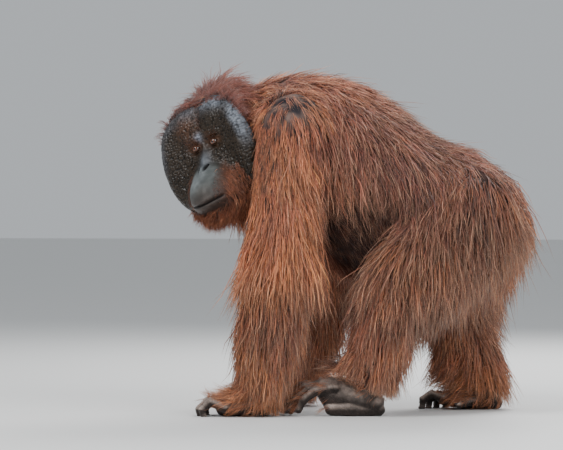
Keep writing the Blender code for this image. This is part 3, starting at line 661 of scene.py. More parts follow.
def eye_room(across, up):
    """1 where the skin gives way to the lids' own patch, and 0 outside it."""
    half_width, half_height = 0.0205, 0.0145
    x, z = (np.abs(across) - EYE_ACROSS) / half_width, up / half_height
    return 1 - ease((np.hypot(x, z) - 0.75) / 0.25)


def outline_radius(angles):
    """Distance from the face's centre to its outline, at angles measured from straight up."""
    table_x, table_z = (np.array(FACE_OUTLINE) - FACE_CENTRE).T
    table_angles, table_radii = np.arctan2(table_x, table_z), np.hypot(table_x, table_z)
    turn = np.abs((angles + math.pi) % (2 * math.pi) - math.pi)
    spread = math.radians(7)
    tries = [np.abs(turn - spread), turn, math.pi - np.abs(math.pi - turn - spread)]
    return sum(np.interp(t, table_angles, table_radii) for t in tries) / 3


def face_tone(across, up, pebble):
    """The face's colours: dark flanges, bluish muzzle and brow, brown round the eyes, ruddy sides, and
    painted light and shade.
    """
    side = np.abs(across)
    off, along = mouth_polar(across, up)
    dome = muzzle(across, up)
    face_x, face_z = across - FACE_CENTRE[0], up - FACE_CENTRE[1]
    reach = np.hypot(face_x, face_z) / outline_radius(np.arctan2(face_x, face_z))
    patchy = face_noise(across, up, 6, 0.030, 8.0)
    # Painted sheen: the rim of the face, most on the near side, is lightened towards a pale bluish grey.
    sheen = ease((reach - 0.74) / 0.18) * ease((up + 0.06) / 0.06) * np.where(across > 0, 0.90, 0.35)

    def spot(x, wide, z, tall):
        return bell(across - x, wide) * bell(up - z, tall)

    tone = np.repeat(linear(36, 28, 20)[None, :], len(across), axis=0)
    for colour, share in (
        # painted sheen on the rim
        ((96, 101, 109), sheen * (0.20 + 0.9 * patchy)),  # rim
        ((96, 101, 109), 0.40 * ease((up - 0.050) / 0.05) * (0.2 + patchy)),  # forehead
        ((96, 60, 42), 0.35 * spot(-0.035, 0.030, 0.062, 0.034)),  # ruddy right of the forehead
        ((82, 86, 85), 0.95 * ease((dome - 0.012) / 0.030) * ease((0.064 - side) / 0.034)),  # muzzle
        ((108, 114, 122), 0.6 * spot(0, 0.016, -0.044, 0.024)),  # bridge of the nose
        # painted highlight on the crest of the upper lip
        ((124, 130, 132), 0.6 * spot(-0.012, 0.026, -0.090, 0.020)),  # pale place above the lip
        ((56, 51, 46), 0.6 * spot(0.020, 0.026, -0.122, 0.022)),  # dark left half of the lip
        # a pale bluish spot between the brows, as a painted highlight
        ((126, 133, 146), 0.55 * spot(-0.007, 0.011, 0.022, 0.012)),  # between the brows
        ((88, 54, 34), 0.75 * bell(side - EYE_ACROSS, 0.021) * bell(up - 0.006, 0.016)),  # eyelids
        ((62, 48, 42), 0.75 * ease((-0.105 - up) / 0.05) * ease((dome - 0.02) / 0.03)),  # lower muzzle
        ((96, 60, 44), 0.8 * ease((side - 0.036) / 0.030) * ease((dome - 0.006) / 0.02)),  # its sides
        # painted shade in the groove of the mouth
        ((28, 22, 22), 0.95 * bell(off, 0.0026) * (1 - ease((along - 0.9) / 0.2))),  # line of the mouth
        # painted shade inside the pits of the nostrils
        ((16, 13, 13), ease(nostril_share(across, up) * 1.5 + 0.15)),  # nostrils
        ((60, 48, 42), 0.85 * ease((off - 0.004) / 0.01) * (dome > 0.01)),  # lower lip and chin
    ):
        share = np.clip(share, 0, 1)[:, None]
        tone = tone * (1 - share) + linear(*colour) * share
    tone = tone * (1 + 0.5 * (face_noise(across, up, 8, 0.009, 9.0) - 0.5))[:, None]
    # Painted shade in the pebbles' cracks and painted highlight on their tops.
    shade = 1 - pebble_mask(across, up) * (0.74 - 1.25 * pebble)
    return tone * shade[:, None]


def face_surface(across, up):
    """Height and tone of the bare face at each place."""
    pebble = pebbles(np.stack((across, up), axis=1), PEBBLE_SIZE)
    height = face_form(across, up) + face_details(across, up)
    height += PEBBLE_HEIGHT * (pebble - 0.5) * pebble_mask(across, up)
    height += 0.0022 * (face_noise(across, up, 3, 0.018, 4.0) - 0.5) * pebble_mask(across, up)
    return height, face_tone(across, up, pebble)


def make_head_skin():
    """The face with its flanges, the skull behind it and the ears, as one piece."""
    steps, rings, back_rings = 560, 112, 14
    angles = 2 * math.pi * np.arange(steps) / steps
    edge = outline_radius(angles)
    shares = 1 - (1 - np.arange(1, rings + 1) / rings) ** 1.12
    back_shares = 1 - (np.arange(1, back_rings + 1) / (back_rings + 1)) ** 1.6
    points, tones, relief = [], [], []
    for front, rows in ((True, shares), (False, back_shares)):
        for share in rows:
            across = FACE_CENTRE[0] + edge * share * np.sin(angles)
            up = FACE_CENTRE[1] + edge * share * np.cos(angles)
            inside = np.clip((share - 0.80) / 0.20, 0, 1)
            half = FLANGE_THICKNESS / 2 * math.sqrt(max(1 - inside**2, 0))
            height, tone = face_surface(across, up)
            if front:
                height = height - FLANGE_THICKNESS / 2 + half - 0.012 * eye_room(across, up)
            else:
                height = np.full(steps, -FLANGE_THICKNESS / 2 - half)
                tone = tone * 0.8
            points.append(head_points(across, height, up))
            tones.append(tone)
            relief.append(pebble_mask(across, up))
    count = (rings + back_rings) * steps
    across, up = FACE_CENTRE[:, None]
    middle, tone = face_surface(across, up)
    points += [head_points(across, middle, up), head_points(across, -FLANGE_THICKNESS, up)]
    tones += [tone, tone]
    relief += [np.zeros(1), np.ones(1)]
    shapes = [(np.concatenate(points), ring_faces(rings + back_rings, steps, count, count + 1))]
    skull_axes = (LEFT * 0.088, FORWARD * 0.070, UP * 0.112 - FORWARD * 0.030)
    shapes.append(ellipsoid(head_point(0, -0.086, 0.034), skull_axes, 48, 30))
    shapes += [ear_shape(side) for side in (1, -1)]
    for shape, dull in zip(shapes[1:], ((92, 74, 66), (84, 70, 64), (84, 70, 64))):
        tones.append(np.repeat(linear(*dull)[None], len(shape[0]), axis=0))
        relief.append(np.full(len(shape[0]), 0.4))
    points, faces = joined((shape[0], outward(*shape)) for shape in shapes)
    skin = add_piece("head_skin", points, faces, FACE_HIDE)
    paint(skin, np.concatenate(tones), np.concatenate(relief))
    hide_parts("head", "left_flange", "right_flange", "left_ear", "right_ear")
    return skin


def ear_shape(side):
    """A small cupped ear with a rolled rim: a bowl of rings, doubled back on itself."""
    height, width = 0.023, 0.0155
    out = (LEFT * side * 0.75 + FORWARD * 0.55).normalized()
    along = out.cross(UP).normalized()
    centre = head_point(side * 0.093, -0.060, 0.002)
    profile = [
        (0.25, -0.0050), (0.55, -0.0035), (0.78, 0.0005), (0.92, 0.0052), (1.0, 0.0062),
        (1.06, 0.0035), (1.0, -0.0015), (0.80, -0.0065), (0.45, -0.0085),
    ]
    sides = 40
    points = []
    for share, lift in profile:
        for k in range(sides):
            turn = 2 * math.pi * k / sides
            fold = 0.0016 * math.sin(3 * turn + 1.0) * (share > 0.5)
            lobe = 1.0 - 0.16 * math.exp(-((turn - 4.7) ** 2) * 2)
            flat = along * width * math.cos(turn) * lobe + UP * height * math.sin(turn)
            points.append(centre + flat * share + out * (lift + fold))
    points += [centre + out * -0.0040, centre + out * -0.0090]
    count = len(profile) * sides
    return points, ring_faces(len(profile), sides, count, count + 1)


def make_lids():
    """A patch of skin round each eye: the two lids, their creases and the pouch below."""
    steps, rings = 72, 22
    half_width, upper_opening, lower_opening = 0.0132, 0.0040, 0.0048
    patch_width, patch_height = 0.0215, 0.0155
    lash = linear(38, 26, 22)
    points, tones, faces = [], [], []
    for side in (1, -1):
        start = len(points)
        ball = np.array((side * EYE_ACROSS, EYE_DEPTH, 0.0))
        angles = 2 * math.pi * np.arange(steps) / steps
        almond_x = half_width * np.cos(angles)
        sharp = 1 - 0.30 * np.abs(np.cos(angles)) ** 3
        opening = np.where(np.sin(angles) > 0, upper_opening, lower_opening)
        almond_z = opening * np.sin(angles) * sharp + 0.07 * side * almond_x - 0.0003
        outer_x, outer_z = patch_width * np.cos(angles), patch_height * np.sin(angles)
        for ring in range(rings):
            share = max(ring - 1, 0) / (rings - 2)
            x = almond_x * (1 - share) + outer_x * share
            z = almond_z * (1 - share) + outer_z * share
            across, up = ball[0] + x, ball[2] + z
            flat = np.minimum(np.hypot(x, z), EYE_RADIUS * 0.985)
            on_ball = EYE_DEPTH + np.sqrt(EYE_RADIUS**2 - flat**2)
            lid = on_ball + 0.0006 + 0.0016 * math.sin(math.pi * min(share * 3.2, 0.5))
            plain, tone = face_surface(across, up)
            mix = ease(np.array((share - 0.12) / 0.68))
            height = lid * (1 - mix) + plain * mix
            # A crease in the upper lid, a pouch under the lower one, and a crease below the pouch.
            upper = np.clip(np.sin(angles), 0, 1)
            lower = np.clip(-np.sin(angles), 0, 1)
            height -= 0.0011 * upper * bell(share - 0.34, 0.07)
            height += 0.0016 * lower * bell(share - 0.50, 0.16)
            height -= 0.0010 * lower * bell(share - 0.74, 0.06)
            height -= 0.0009 * ease(np.array((share - 0.86) / 0.14))
            if ring == 0:
                height = on_ball - 0.0012
            points += list(head_points(across, height, up))
            edge = 1 - ease(np.array((share - 0.02) / 0.16))
            tones += list(tone * (1 - edge * 0.75) + lash * edge * 0.75)
        faces += band_faces(rings, steps, start)
    lids = add_piece("lids", np.array(points), faces, FACE_HIDE)
    paint(lids, np.array(tones), 0.15)


def make_eyes():
    """Eyeballs with a clear bulge over an amber iris."""
    gaze = (FORWARD * 0.80 + Vector((0.17, -0.985, 0.01)) * 0.20).normalized()
    side_way = gaze.cross(Vector((0, 0, 1))).normalized()
    up_way = side_way.cross(gaze)
    rings, steps = 40, 48
    pupil_edge, iris_edge, iris_rim = 0.22, 0.48, 0.58
    pupil = linear(8, 6, 6)
    for side, node in ((1, "left_eye"), (-1, "right_eye")):
        centre = head_point(side * EYE_ACROSS, EYE_DEPTH, 0)
        points, tones = [], []
        for i in range(1, rings):
            open_angle = math.pi * (i / rings) ** 1.3
            radius = EYE_RADIUS + CORNEA_BULGE * math.exp(-((open_angle / 0.50) ** 4))
            for k in range(steps):
                turn = 2 * math.pi * k / steps
                flat = side_way * math.cos(turn) + up_way * math.sin(turn)
                way = gaze * math.cos(open_angle) + flat * math.sin(open_angle)
                points.append(centre + way * radius)
                streak = 0.82 + 0.22 * math.sin(17 * turn) * math.sin(29 * turn + 1)
                if open_angle < pupil_edge:
                    tone = pupil
                elif open_angle < iris_edge:
                    outwards = (open_angle - pupil_edge) / (iris_edge - pupil_edge)
                    tone = linear(112, 56, 22) * streak * (0.6 + 0.7 * outwards)
                elif open_angle < iris_rim:
                    tone = linear(44, 22, 12)
                else:
                    # Painted shade of the lids: the white of the eye darkens away from the iris.
                    tone = linear(66, 42, 33) * (1.15 - 0.5 * min(open_angle, 1.2))
                tones.append(tone)
        points += [centre + gaze * (EYE_RADIUS + CORNEA_BULGE), centre - gaze * EYE_RADIUS]
        tones += [pupil, linear(70, 45, 38)]
        count = (rings - 1) * steps
        faces = outward(points, ring_faces(rings - 1, steps, count, count + 1))
        eye = add_piece(node + "_ball", points, faces, EYE)
        paint(eye, np.array(tones))
        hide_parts(node)


# Body, hands and feet.


BODY_VOXEL, HAND_VOXEL, FOOT_VOXEL = 0.0075, 0.0022, 0.0024
FLOOR_GAP = 0.0004
CUFF_REACH = 0.030


def pad(centre, *axes):
    """A rounded mass of flesh, from its middle and its three half axes."""
    return ellipsoid(Vector(centre), [Vector(axis) for axis in axes])


def body_shapes():
    """The flesh of the trunk, the neck, the throat and the limbs."""
    centres, radii = [], []
    for x, back, belly, half_width in curve_through(TORSO, 34):
        centres.append((x, 0, (back + belly) / 2))
        radii.append((half_width, (back - belly) / 2))
    shapes = [tube(centres, radii, 40, (0, 1, 0), 0.35, Vector((1, 0, 0)))]
    base, nape = Vector((-0.185, -0.005, 0.712)), Vector((-0.285, -0.030, 0.718))
    neck_radii = [(0.105, 0.112), (0.086, 0.102), (0.076, 0.094)]
    shapes.append(tube([base, (base + nape) / 2, nape], neck_radii, 32, (0, 1, 0), 0.4))
    shapes.append(pad((-0.258, -0.078, 0.590), (0.058, 0, 0.02), (0, 0.072, 0), (-0.02, 0, 0.064)))
    for side, out in zip(SIDES, (-1, 1)):
        for start, end, sizes in LIMBS.values():
            first, last = JOINTS[f"{side}_{start}"], JOINTS[f"{side}_{end}"]
            rows = curve_through([(*first.lerp(last, t / 2), sizes[t]) for t in range(3)], 12)
            line, radii = [row[:3] for row in rows], [(row[3], row[3]) for row in rows]
            shapes.append(tube(line, radii, 28, (1, 0, 0), 0.8))
        shoulder = JOINTS[f"{side}_shoulder"] + Vector((0.010, -0.010 * out, -0.030))
        hip = JOINTS[f"{side}_hip"] + Vector((0.010, -0.010 * out, 0.010))
        shapes.append(pad(shoulder, (0.092, 0, 0), (0, 0.078, 0), (0, 0, 0.110)))
        shapes.append(pad(hip, (0.100, 0, -0.02), (0, 0.085, 0), (0.02, 0, 0.112)))
    return shapes


DIGITS = []


def digit(base, heading, pitch, kind, longer=1.0):
    """One finger or toe, a bent tube with knuckles; DIGITS keeps its line for the nails."""
    lengths, bends, radii = kind
    points, sizes = [Vector(base)], [radii[0]]
    direction = Vector(heading).normalized()
    for bend, length, start, end in zip((0, *bends), lengths, radii, radii[1:]):
        pitch -= bend
        rise = math.radians(pitch)
        step = direction * math.cos(rise) + Vector((0, 0, 1)) * math.sin(rise)
        here = points[-1]
        for share, waist in ((0.3, 0.94), (0.7, 0.92), (1.0, 1.06)):
            points.append(here + step * length * longer * share)
            sizes.append((start + (end - start) * share) * waist)
    across = direction.cross(Vector((0, 0, 1))).normalized()
    DIGITS.append((points, sizes, step, across))
    return tube(points, [(r, r * 0.95) for r in sizes], 20, across, 0.9)


def bearings(side, turn):
    """The level direction a hand or foot points in, and the one across it, away from the body."""
    ahead = Vector((-math.cos(turn), math.sin(turn), 0))
    lateral = Vector((0, 0, 1)).cross(ahead)
    out = -1 if side == "left" else 1
    return ahead, lateral if lateral.y * out > 0 else -lateral


def cuff(start, joint, next_joint, radii, lateral):
    """The wrist or ankle, from inside the palm or foot to a little way up the limb."""
    top = joint + (next_joint - joint).normalized() * CUFF_REACH
    return tube([start, joint, top], radii, 28, lateral)


def sole(heel, ahead, lateral, stations, cap):
    """The palm or foot as one lofted body on its stations."""
    centres = [heel + ahead * d + Vector((0, 0, h)) for d, _, h, _ in stations]
    return tube(centres, [(wide, deep) for _, wide, _, deep in stations], 32, lateral, cap)


def hand_shapes(side, turn):
    """The palm, wrist, four fingers and thumb."""
    wrist = JOINTS[f"{side}_wrist"]
    ahead, lateral = bearings(side, turn)
    heel = Vector((wrist.x, wrist.y, 0.0)) - ahead * 0.008
    shapes = [sole(heel, ahead, lateral, PALM, 0.5)]
    start = heel + Vector((0, 0, 0.034)) + ahead * 0.004
    radii = [(0.031, 0.028), (0.031, 0.029), (0.031, 0.030)]
    shapes.append(cuff(start, wrist, JOINTS[f"{side}_elbow"], radii, lateral))
    for k, longer in enumerate((0.96, 1.0, 0.97, 0.86)):
        place = heel + ahead * (0.100 - 0.006 * abs(k - 1.3)) + lateral * (0.0105 + 0.0235 * (k - 1.5))
        place += Vector((0, 0, 0.021))
        shapes.append(digit(place, ahead + lateral * 0.05 * (k - 1.5), 24, FINGERS, longer))
    root = heel + ahead * 0.030 - lateral * 0.036 + Vector((0, 0, 0.020))
    shapes.append(digit(root, ahead * 0.75 - lateral * 0.65, -5, THUMB))
    return shapes


def foot_shapes(side, turn, stations, toes, toe_place, toe_pitch):
    """The heel, outer edge, four long toes and the short big toe.

    toe_place is how far ahead of the heel the toes are rooted, and how high.
    """
    ankle = JOINTS[f"{side}_ankle"]
    ahead, lateral = bearings(side, turn)
    heel = Vector((ankle.x, ankle.y, 0.0)) - ahead * 0.024
    shapes = [sole(heel, ahead, lateral, stations, 0.6)]
    start = heel + ahead * 0.030 + Vector((0, 0, 0.034))
    radii = [(0.034, 0.036), (0.034, 0.036), (0.034, 0.034)]
    shapes.append(cuff(start, ankle, JOINTS[f"{side}_knee"], radii, lateral))
    edge = heel + ahead * 0.070 + lateral * 0.024 + Vector((0, 0, 0.019))
    edge_line = [heel + lateral * 0.006 + Vector((0, 0, 0.017)), edge, edge + ahead * 0.046]
    shapes.append(tube(edge_line, [(0.018, 0.019), (0.017, 0.019), (0.015, 0.018)], 20, lateral))
    reach, height = toe_place
    for k, longer in enumerate((1.0, 1.0, 0.95, 0.84)):
        place = heel + ahead * (reach - 0.012 * k) + lateral * 0.0225 * (k - 1.5)
        place += Vector((0, 0, height - 0.003 * k))
        shapes.append(digit(place, ahead + lateral * 0.06 * (k - 1.5), toe_pitch, toes, longer))
    root = heel + ahead * 0.045 - lateral * 0.026 + Vector((0, 0, 0.022))
    shapes.append(digit(root, ahead * 0.7 - lateral * 0.7, -6, BIG_TOE))
    return shapes


def finish_extremity(obj, digits):
    """Presses the skin flat on the floor, folds it over the knuckles and paints it, with painted light
    and shade.
    """
    fold_spacing = 0.0058
    rows = vertex_rows(obj)
    normals = normal_rows(obj)
    best = np.full(len(rows), 9.0)
    along = np.zeros(len(rows))
    for points, _, _, _ in digits:
        line = np.array([tuple(p) for p in points])
        travelled = 0.0
        for a, b in zip(line, line[1:]):
            length = np.linalg.norm(b - a)
            t = np.clip((rows - a) @ (b - a) / length**2, 0, 1)
            gap = np.linalg.norm(rows - a - t[:, None] * (b - a), axis=1)
            closer = gap < best
            best = np.where(closer, gap, best)
            along = np.where(closer, travelled + t * length, along)
            travelled += length
    on_digit = 1 - ease((best - 0.014) / 0.008)
    folds = np.sin(along * 2 * math.pi / fold_spacing + 7 * smooth_noise(rows, 0.012)) * on_digit
    folds = folds * ease(normals[:, 2] + 0.7)
    rough = smooth_noise(rows + 5, 0.0065) - 0.5
    rows += normals * (0.0006 * folds + 0.0020 * rough)[:, None]
    rows[:, 2] = np.maximum(rows[:, 2], FLOOR_GAP)
    set_rows(obj, rows)
    # Painted light and shade: the skin is lighter where it faces up and much darker where it faces down.
    top, shaded_underside = linear(158, 142, 132), linear(52, 43, 39)
    share = ease((normals[:, 2] + 0.25) / 0.8)[:, None]
    tone = shaded_underside * (1 - share) + top * share
    patchy = smooth_noise(rows + 9, 0.020) - 0.5
    # Painted shade in the creases of the folds and the dips of the roughness, lighter on their crests;
    # the patchy part is the skin's own.
    tone = tone * (0.90 + 0.16 * folds + 0.5 * rough + 0.7 * patchy)[:, None]
    paint(obj, np.clip(tone, 0.004, 1), 0.8)


def make_nails(digits):
    """A curved nail on the back of each finger and toe tip."""
    points, faces = [], []
    wide_steps, long_steps = 8, 7
    outer_layer, inner_layer = 0.0010, -0.0012
    for line, sizes, step, across in digits:
        radius = sizes[-1]
        tip = line[-1]
        up = across.cross(step).normalized()
        up = up if up.z > 0 or up.dot(step) < 0 else -up
        for layer in (outer_layer, inner_layer):
            for i in range(long_steps):
                forward = -0.35 + 1.45 * i / (long_steps - 1)
                sink = 0.55 * max(forward - 0.2, 0) ** 2
                for k in range(wide_steps):
                    turn = (k / (wide_steps - 1) - 0.5) * 1.7
                    shell = radius * (1.00 - sink * 0.5) + layer
                    flat = across * math.sin(turn) * shell * 0.82 + up * math.cos(turn) * shell
                    points.append(tip + step * radius * forward * 0.85 + flat)
        base = len(points) - 2 * wide_steps * long_steps
        sheet = wide_steps * long_steps
        for i in range(long_steps - 1):
            for k in range(wide_steps - 1):
                a = base + i * wide_steps + k
                b = a + wide_steps
                faces.append((a, a + 1, b + 1, b))
                faces.append((b + sheet, b + sheet + 1, a + sheet + 1, a + sheet))
        rim = [base + k for k in range(wide_steps)]
        rim += [base + (i + 1) * wide_steps - 1 for i in range(1, long_steps)]
        rim += [base + sheet - 1 - k for k in range(1, wide_steps)]
        rim += [base + i * wide_steps for i in range(long_steps - 2, 0, -1)]
        for a, b in zip(rim, rim[1:] + rim[:1]):
            faces.append((a, a + sheet, b + sheet, b))
    points = np.array([tuple(p) for p in points])
    points[:, 2] = np.maximum(points[:, 2], 0.0006)
    nails = add_piece("nails", points, faces, NAIL)
    tone = linear(64, 52, 46) * (0.8 + 0.5 * smooth_noise(points, 0.004))[:, None]
    paint(nails, tone)
    face_outwards(nails.data)


def make_extremity(name, shapes, voxel):
    """The skin of one hand or foot, whose five digits were the last to be made."""
    skin = fused(f"{name}_skin", shapes, voxel, 5, HAND_HIDE)
    finish_extremity(skin, DIGITS[-5:])
    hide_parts(name)
    return skin


def make_body():
    """Every skin below the head, and the nails. Returns the body's skin and the hands' and feet's."""
    skin = fused("body_skin", body_shapes(), BODY_VOXEL, 6, BODY_HIDE)
    rows = vertex_rows(skin)
    tone = np.repeat(linear(62, 44, 40)[None, :], len(rows), axis=0)
    bare = bare_patch(rows, 1.3)[:, None]
    mottled = ease((smooth_noise(rows + 4, 0.019, 3.0) - 0.34) / 0.26)[:, None]
    patch = linear(34, 34, 40) * (1 - mottled) + linear(112, 92, 84) * mottled
    tone = tone * (1 - bare) + patch * bare
    tone *= (0.55 + 0.9 * smooth_noise(rows, 0.022))[:, None]
    paint(skin, np.clip(tone, 0, 1), 0.5)
    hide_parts(*REGIONS)
    high_foot = (math.radians(-2), HIGH_FOOT, HIGH_TOES, (0.140, 0.080), -8)
    flat_foot = (math.radians(4), FLAT_FOOT, FLAT_TOES, (0.126, 0.027), 20)
    extremities = [
        make_extremity("left_hand", hand_shapes("left", 0.0), HAND_VOXEL),
        make_extremity("right_hand", hand_shapes("right", math.radians(-4)), HAND_VOXEL),
        make_extremity("left_foot", foot_shapes("left", *high_foot), FOOT_VOXEL),
        make_extremity("right_foot", foot_shapes("right", *flat_foot), FOOT_VOXEL),
    ]
    make_nails(DIGITS)
    return skin, extremities


# The coat.


def region_of(points):
    """The index in REGIONS of the part that each point lies on."""
    gaps = []
    stations, backs, bellies, half_widths = np.array(curve_through(TORSO, 40)).T
    x = np.clip(points[:, 0], stations[0], stations[-1])
    mid = np.interp(x, stations, (backs + bellies) / 2)
    half = np.interp(x, stations, (backs - bellies) / 2)
    wide = np.interp(x, stations, half_widths)
    past_end, height = (points[:, 0] - x) / 0.06, (points[:, 2] - mid) / half
    ratio = np.sqrt((points[:, 1] / wide) ** 2 + height**2 + past_end**2)
    gaps.append((ratio - 1) * (half + wide) / 2)

    def capsule(a, b, radius_a, radius_b):
        """How far each point lies outside a limb that narrows from one end to the other."""
        a, b = np.array(tuple(a)), np.array(tuple(b))
        t = np.clip((points - a) @ (b - a) / ((b - a) @ (b - a)), 0, 1)
        gap = np.linalg.norm(points - a - t[:, None] * (b - a), axis=1)
        return gap - (radius_a + (radius_b - radius_a) * t)

    gaps.append(capsule((-0.215, -0.012, 0.700), (-0.285, -0.030, 0.690), 0.10, 0.085))
    for side in SIDES:
        for start, end, sizes in LIMBS.values():
            ends = JOINTS[f"{side}_{start}"], JOINTS[f"{side}_{end}"]
            gaps.append(capsule(*ends, sizes[0] * 1.06, sizes[2]))
    return np.argmin(np.stack(gaps), axis=0)


def bare_patch(points, reach):
    """1 at the bare place on the near shoulder, fading over so many times its half axes."""
    middle, half_axes = np.array((-0.104, -0.205, 0.782)), np.array((0.056, 0.068, 0.062))
    gap = (points - middle) / half_axes / reach
    return bell(np.linalg.norm(gap, axis=1), 1.0)


def flank_share(points):
    """1 on the thinly haired flank between arm and thigh, on either side."""
    x, y, z = points.T
    between = ease((x + 0.07) / 0.05) * ease((0.190 - x) / 0.07)
    return between * ease((0.66 - z) / 0.12) * ease((np.abs(y) - 0.05) / 0.06)


def groom_body(points, normals):
    """For each root on the body: its hair's lie, length and lift, and how thickly it grows there."""
    region = region_of(points)
    x, y, z = points.T
    lie = np.zeros_like(points)
    length = np.full(len(points), 0.14)
    lift = np.full(len(points), 0.30)
    dense = np.ones(len(points))

    def put(mask, way):
        """Sets the lie where the mask is true, from its three parts along x, y and z."""
        lie[mask] = np.stack(np.broadcast_arrays(*way, x)[:3], axis=1)[mask]

    rump = np.maximum(0, x - 0.20)
    torso = region == REGION_INDEX["torso"]
    put(torso, (0.75 - rump * 3, y * 3, -0.35 - np.abs(y) * 3 - rump * 6))
    trunk_length = 0.110 + 0.045 * ease((np.abs(y) - 0.08) / 0.1) - 0.02 * ease((x - 0.34) / 0.08)
    length[torso] = trunk_length[torso]
    lift[torso] = (0.36 - 0.22 * ease((x - 0.05) / 0.10))[torso]
    length[torso & (x > 0.36)] = 0.100
    under = torso & (normals[:, 2] < -0.35)
    length[under] = 0.085
    dense[under] = 0.75
    flank = flank_share(points) * torso
    length = length * (1 - 0.50 * flank)
    lift = lift * (1 - 0.40 * flank)
    dense = dense * (1 - 0.35 * flank)
    neck = region == REGION_INDEX["neck"]
    put(neck, (0.45, y * 4, -0.7))
    length[neck] = 0.095
    lift[neck] = (0.40 + 0.40 * ease(normals[:, 2]))[neck]
    for index, name in enumerate(REGIONS):
        here = region == index
        if "upper_arm" in name:
            put(here, (0.30 * ease((z - 0.50) / 0.12) - 0.24 * ease((0.52 - z) / 0.12), 0, -1))
            length[here] = (0.130 + 0.055 * ease((0.54 - z) / 0.1))[here]
            front = ease((-normals[:, 0] - 0.1) / 0.4) * ease((z - 0.52) / 0.08)
            lift[here] = ((0.24 + 0.30 * ease((0.55 - z) / 0.12)) * (1 - 0.75 * front))[here]
            length = np.where(here, length * (1 - 0.45 * front), length)
        elif "forearm" in name:
            flare = ease((0.17 - z) / 0.09)
            put(here, (-0.04 - 0.90 * flare, 0, -1 + 0.40 * flare))
            length[here] = (0.140 - 0.025 * flare)[here]
            lift[here] = (0.20 + 0.16 * flare)[here]
        elif "thigh" in name:
            lean = -0.14 if "left" in name else 0.12
            put(here, (lean, 0, -1))
            length[here] = 0.165
            lift[here] = (0.30 - 0.18 * ease((x - 0.31) / 0.07) * ease((z - 0.40) / 0.08))[here]
        elif "shank" in name:
            near_side = "left" in name
            flare = ease((0.24 - z) / 0.08) * ease((0.25 - normals[:, 0]) / 0.5)
            lean = -0.22 if near_side else 0.10
            put(here, (lean - (1.30 if near_side else 0.60) * flare, 0, -1 + 0.45 * flare))
            room = (z - hem(points, near_side)) / 0.80
            room = np.where(near_side & (flare > 0.4), 0.125, room)
            length[here] = np.clip(np.minimum(0.130, room), 0.020, 0.130)[here]
            lift[here] = (0.28 + 0.20 * flare)[here]
    bare = bare_patch(points, 1.05)
    dense = dense * (1 - 0.70 * bare)
    length = length * (1 - 0.55 * bare)
    wall = ease((z - 0.045) / 0.04)
    dense = dense * np.where(z < 0.10, wall, 1)
    lie = unit(lie) + 0.55 * wander(points, 0.055)
    return unit(lie), length, lift, dense


def hem(points, near_side):
    """How low the shank's hair reaches: almost to the floor on the far leg, less far on the near one."""
    if not near_side:
        return np.full(len(points), 0.028)
    return np.interp(points[:, 0], (-0.065, 0.032, 0.090, 0.142), (0.108, 0.088, 0.056, 0.038))


def wander(points, size):
    """A smoothly changing direction, which breaks the coat into wisps that cross each other."""
    ways = [smooth_noise(points + 3 * axis, size, 20.0 + axis) - 0.5 for axis in range(3)]
    return np.stack(ways, axis=1)


def groom_extremity(points, normals):
    """Hair on the back of the hands and feet, thinning towards the digits."""
    best = np.full(len(points), 9.0)
    for name in ("left_wrist", "right_wrist", "left_ankle", "right_ankle"):
        gap = points - np.array((JOINTS[name].x, JOINTS[name].y, 0.05))
        best = np.minimum(best, np.linalg.norm(gap * np.array((1.0, 0.8, 0.6)), axis=1))
    lie = np.repeat(np.array(((-0.85, 0.0, -0.40),)), len(points), axis=0) + 0.5 * wander(points, 0.03)
    x, y, z = points.T
    near_foot = (x > 0) & (y < 0)
    bare_toes = ease((z - hem(points, True) + 0.006) / 0.012)
    reach = np.where(near_foot, 0.030, np.where(x < 0, 0.085, 0.060))
    length = np.where(near_foot, 0.030, 0.066) * (1 - 0.40 * ease((best - 0.04) / 0.08))
    lift = np.where(near_foot, 0.30, 0.50)
    dense = ease((normals[:, 2] + 0.30) / 0.5) * ease((z - 0.016) / 0.01)
    dense = dense * (1 - ease((best - reach) / 0.060)) * np.where(near_foot, bare_toes, 1)
    return unit(lie), length, lift, dense


def groom_crown(points, _):
    """The same for the crown, the hairline round the flanges' upper rim, and the nape."""
    across, forward, up = in_head(points).T
    side = np.abs(across)
    left, ahead, above = HEAD_ROWS
    face_x, face_z = across - FACE_CENTRE[0], up - FACE_CENTRE[1]
    share = np.hypot(face_x, face_z) / outline_radius(np.arctan2(face_x, face_z))
    radial = unit(face_x[:, None] * left + face_z[:, None] * above)
    rim = (share > 0.955 - 0.085 * ease((up - 0.070) / 0.025)) & (up > 0.01)
    rim = rim & (forward < 0.030) & (forward > -0.042)
    skull = (forward < -0.040) & (up > -0.11)
    fall = (0.10 + side * 5 * ease((0.060 - up) / 0.060))[:, None]
    lie = across[:, None] * 7.0 * left - 0.9 * ahead - fall * above
    lie = np.where(rim[:, None], radial * 0.75 - 0.75 * ahead + 0.15 * left, lie)
    lie = lie + 0.45 * wander(points, 0.03)
    high = ease((up - 0.03) / 0.07)
    near_side = ease((across + 0.01) / 0.05)
    length = np.where(rim, 0.028 + 0.026 * high, 0.080 + 0.020 * near_side)
    lift = np.where(rim, 0.34 + 0.32 * high, 0.46 + 0.30 * near_side * high)
    dense = np.where(rim, 2.4 * ease((up - 0.015) / 0.05), np.where(skull, 1.0 + 0.6 * high, 0.0))
    return unit(lie), length, lift, dense


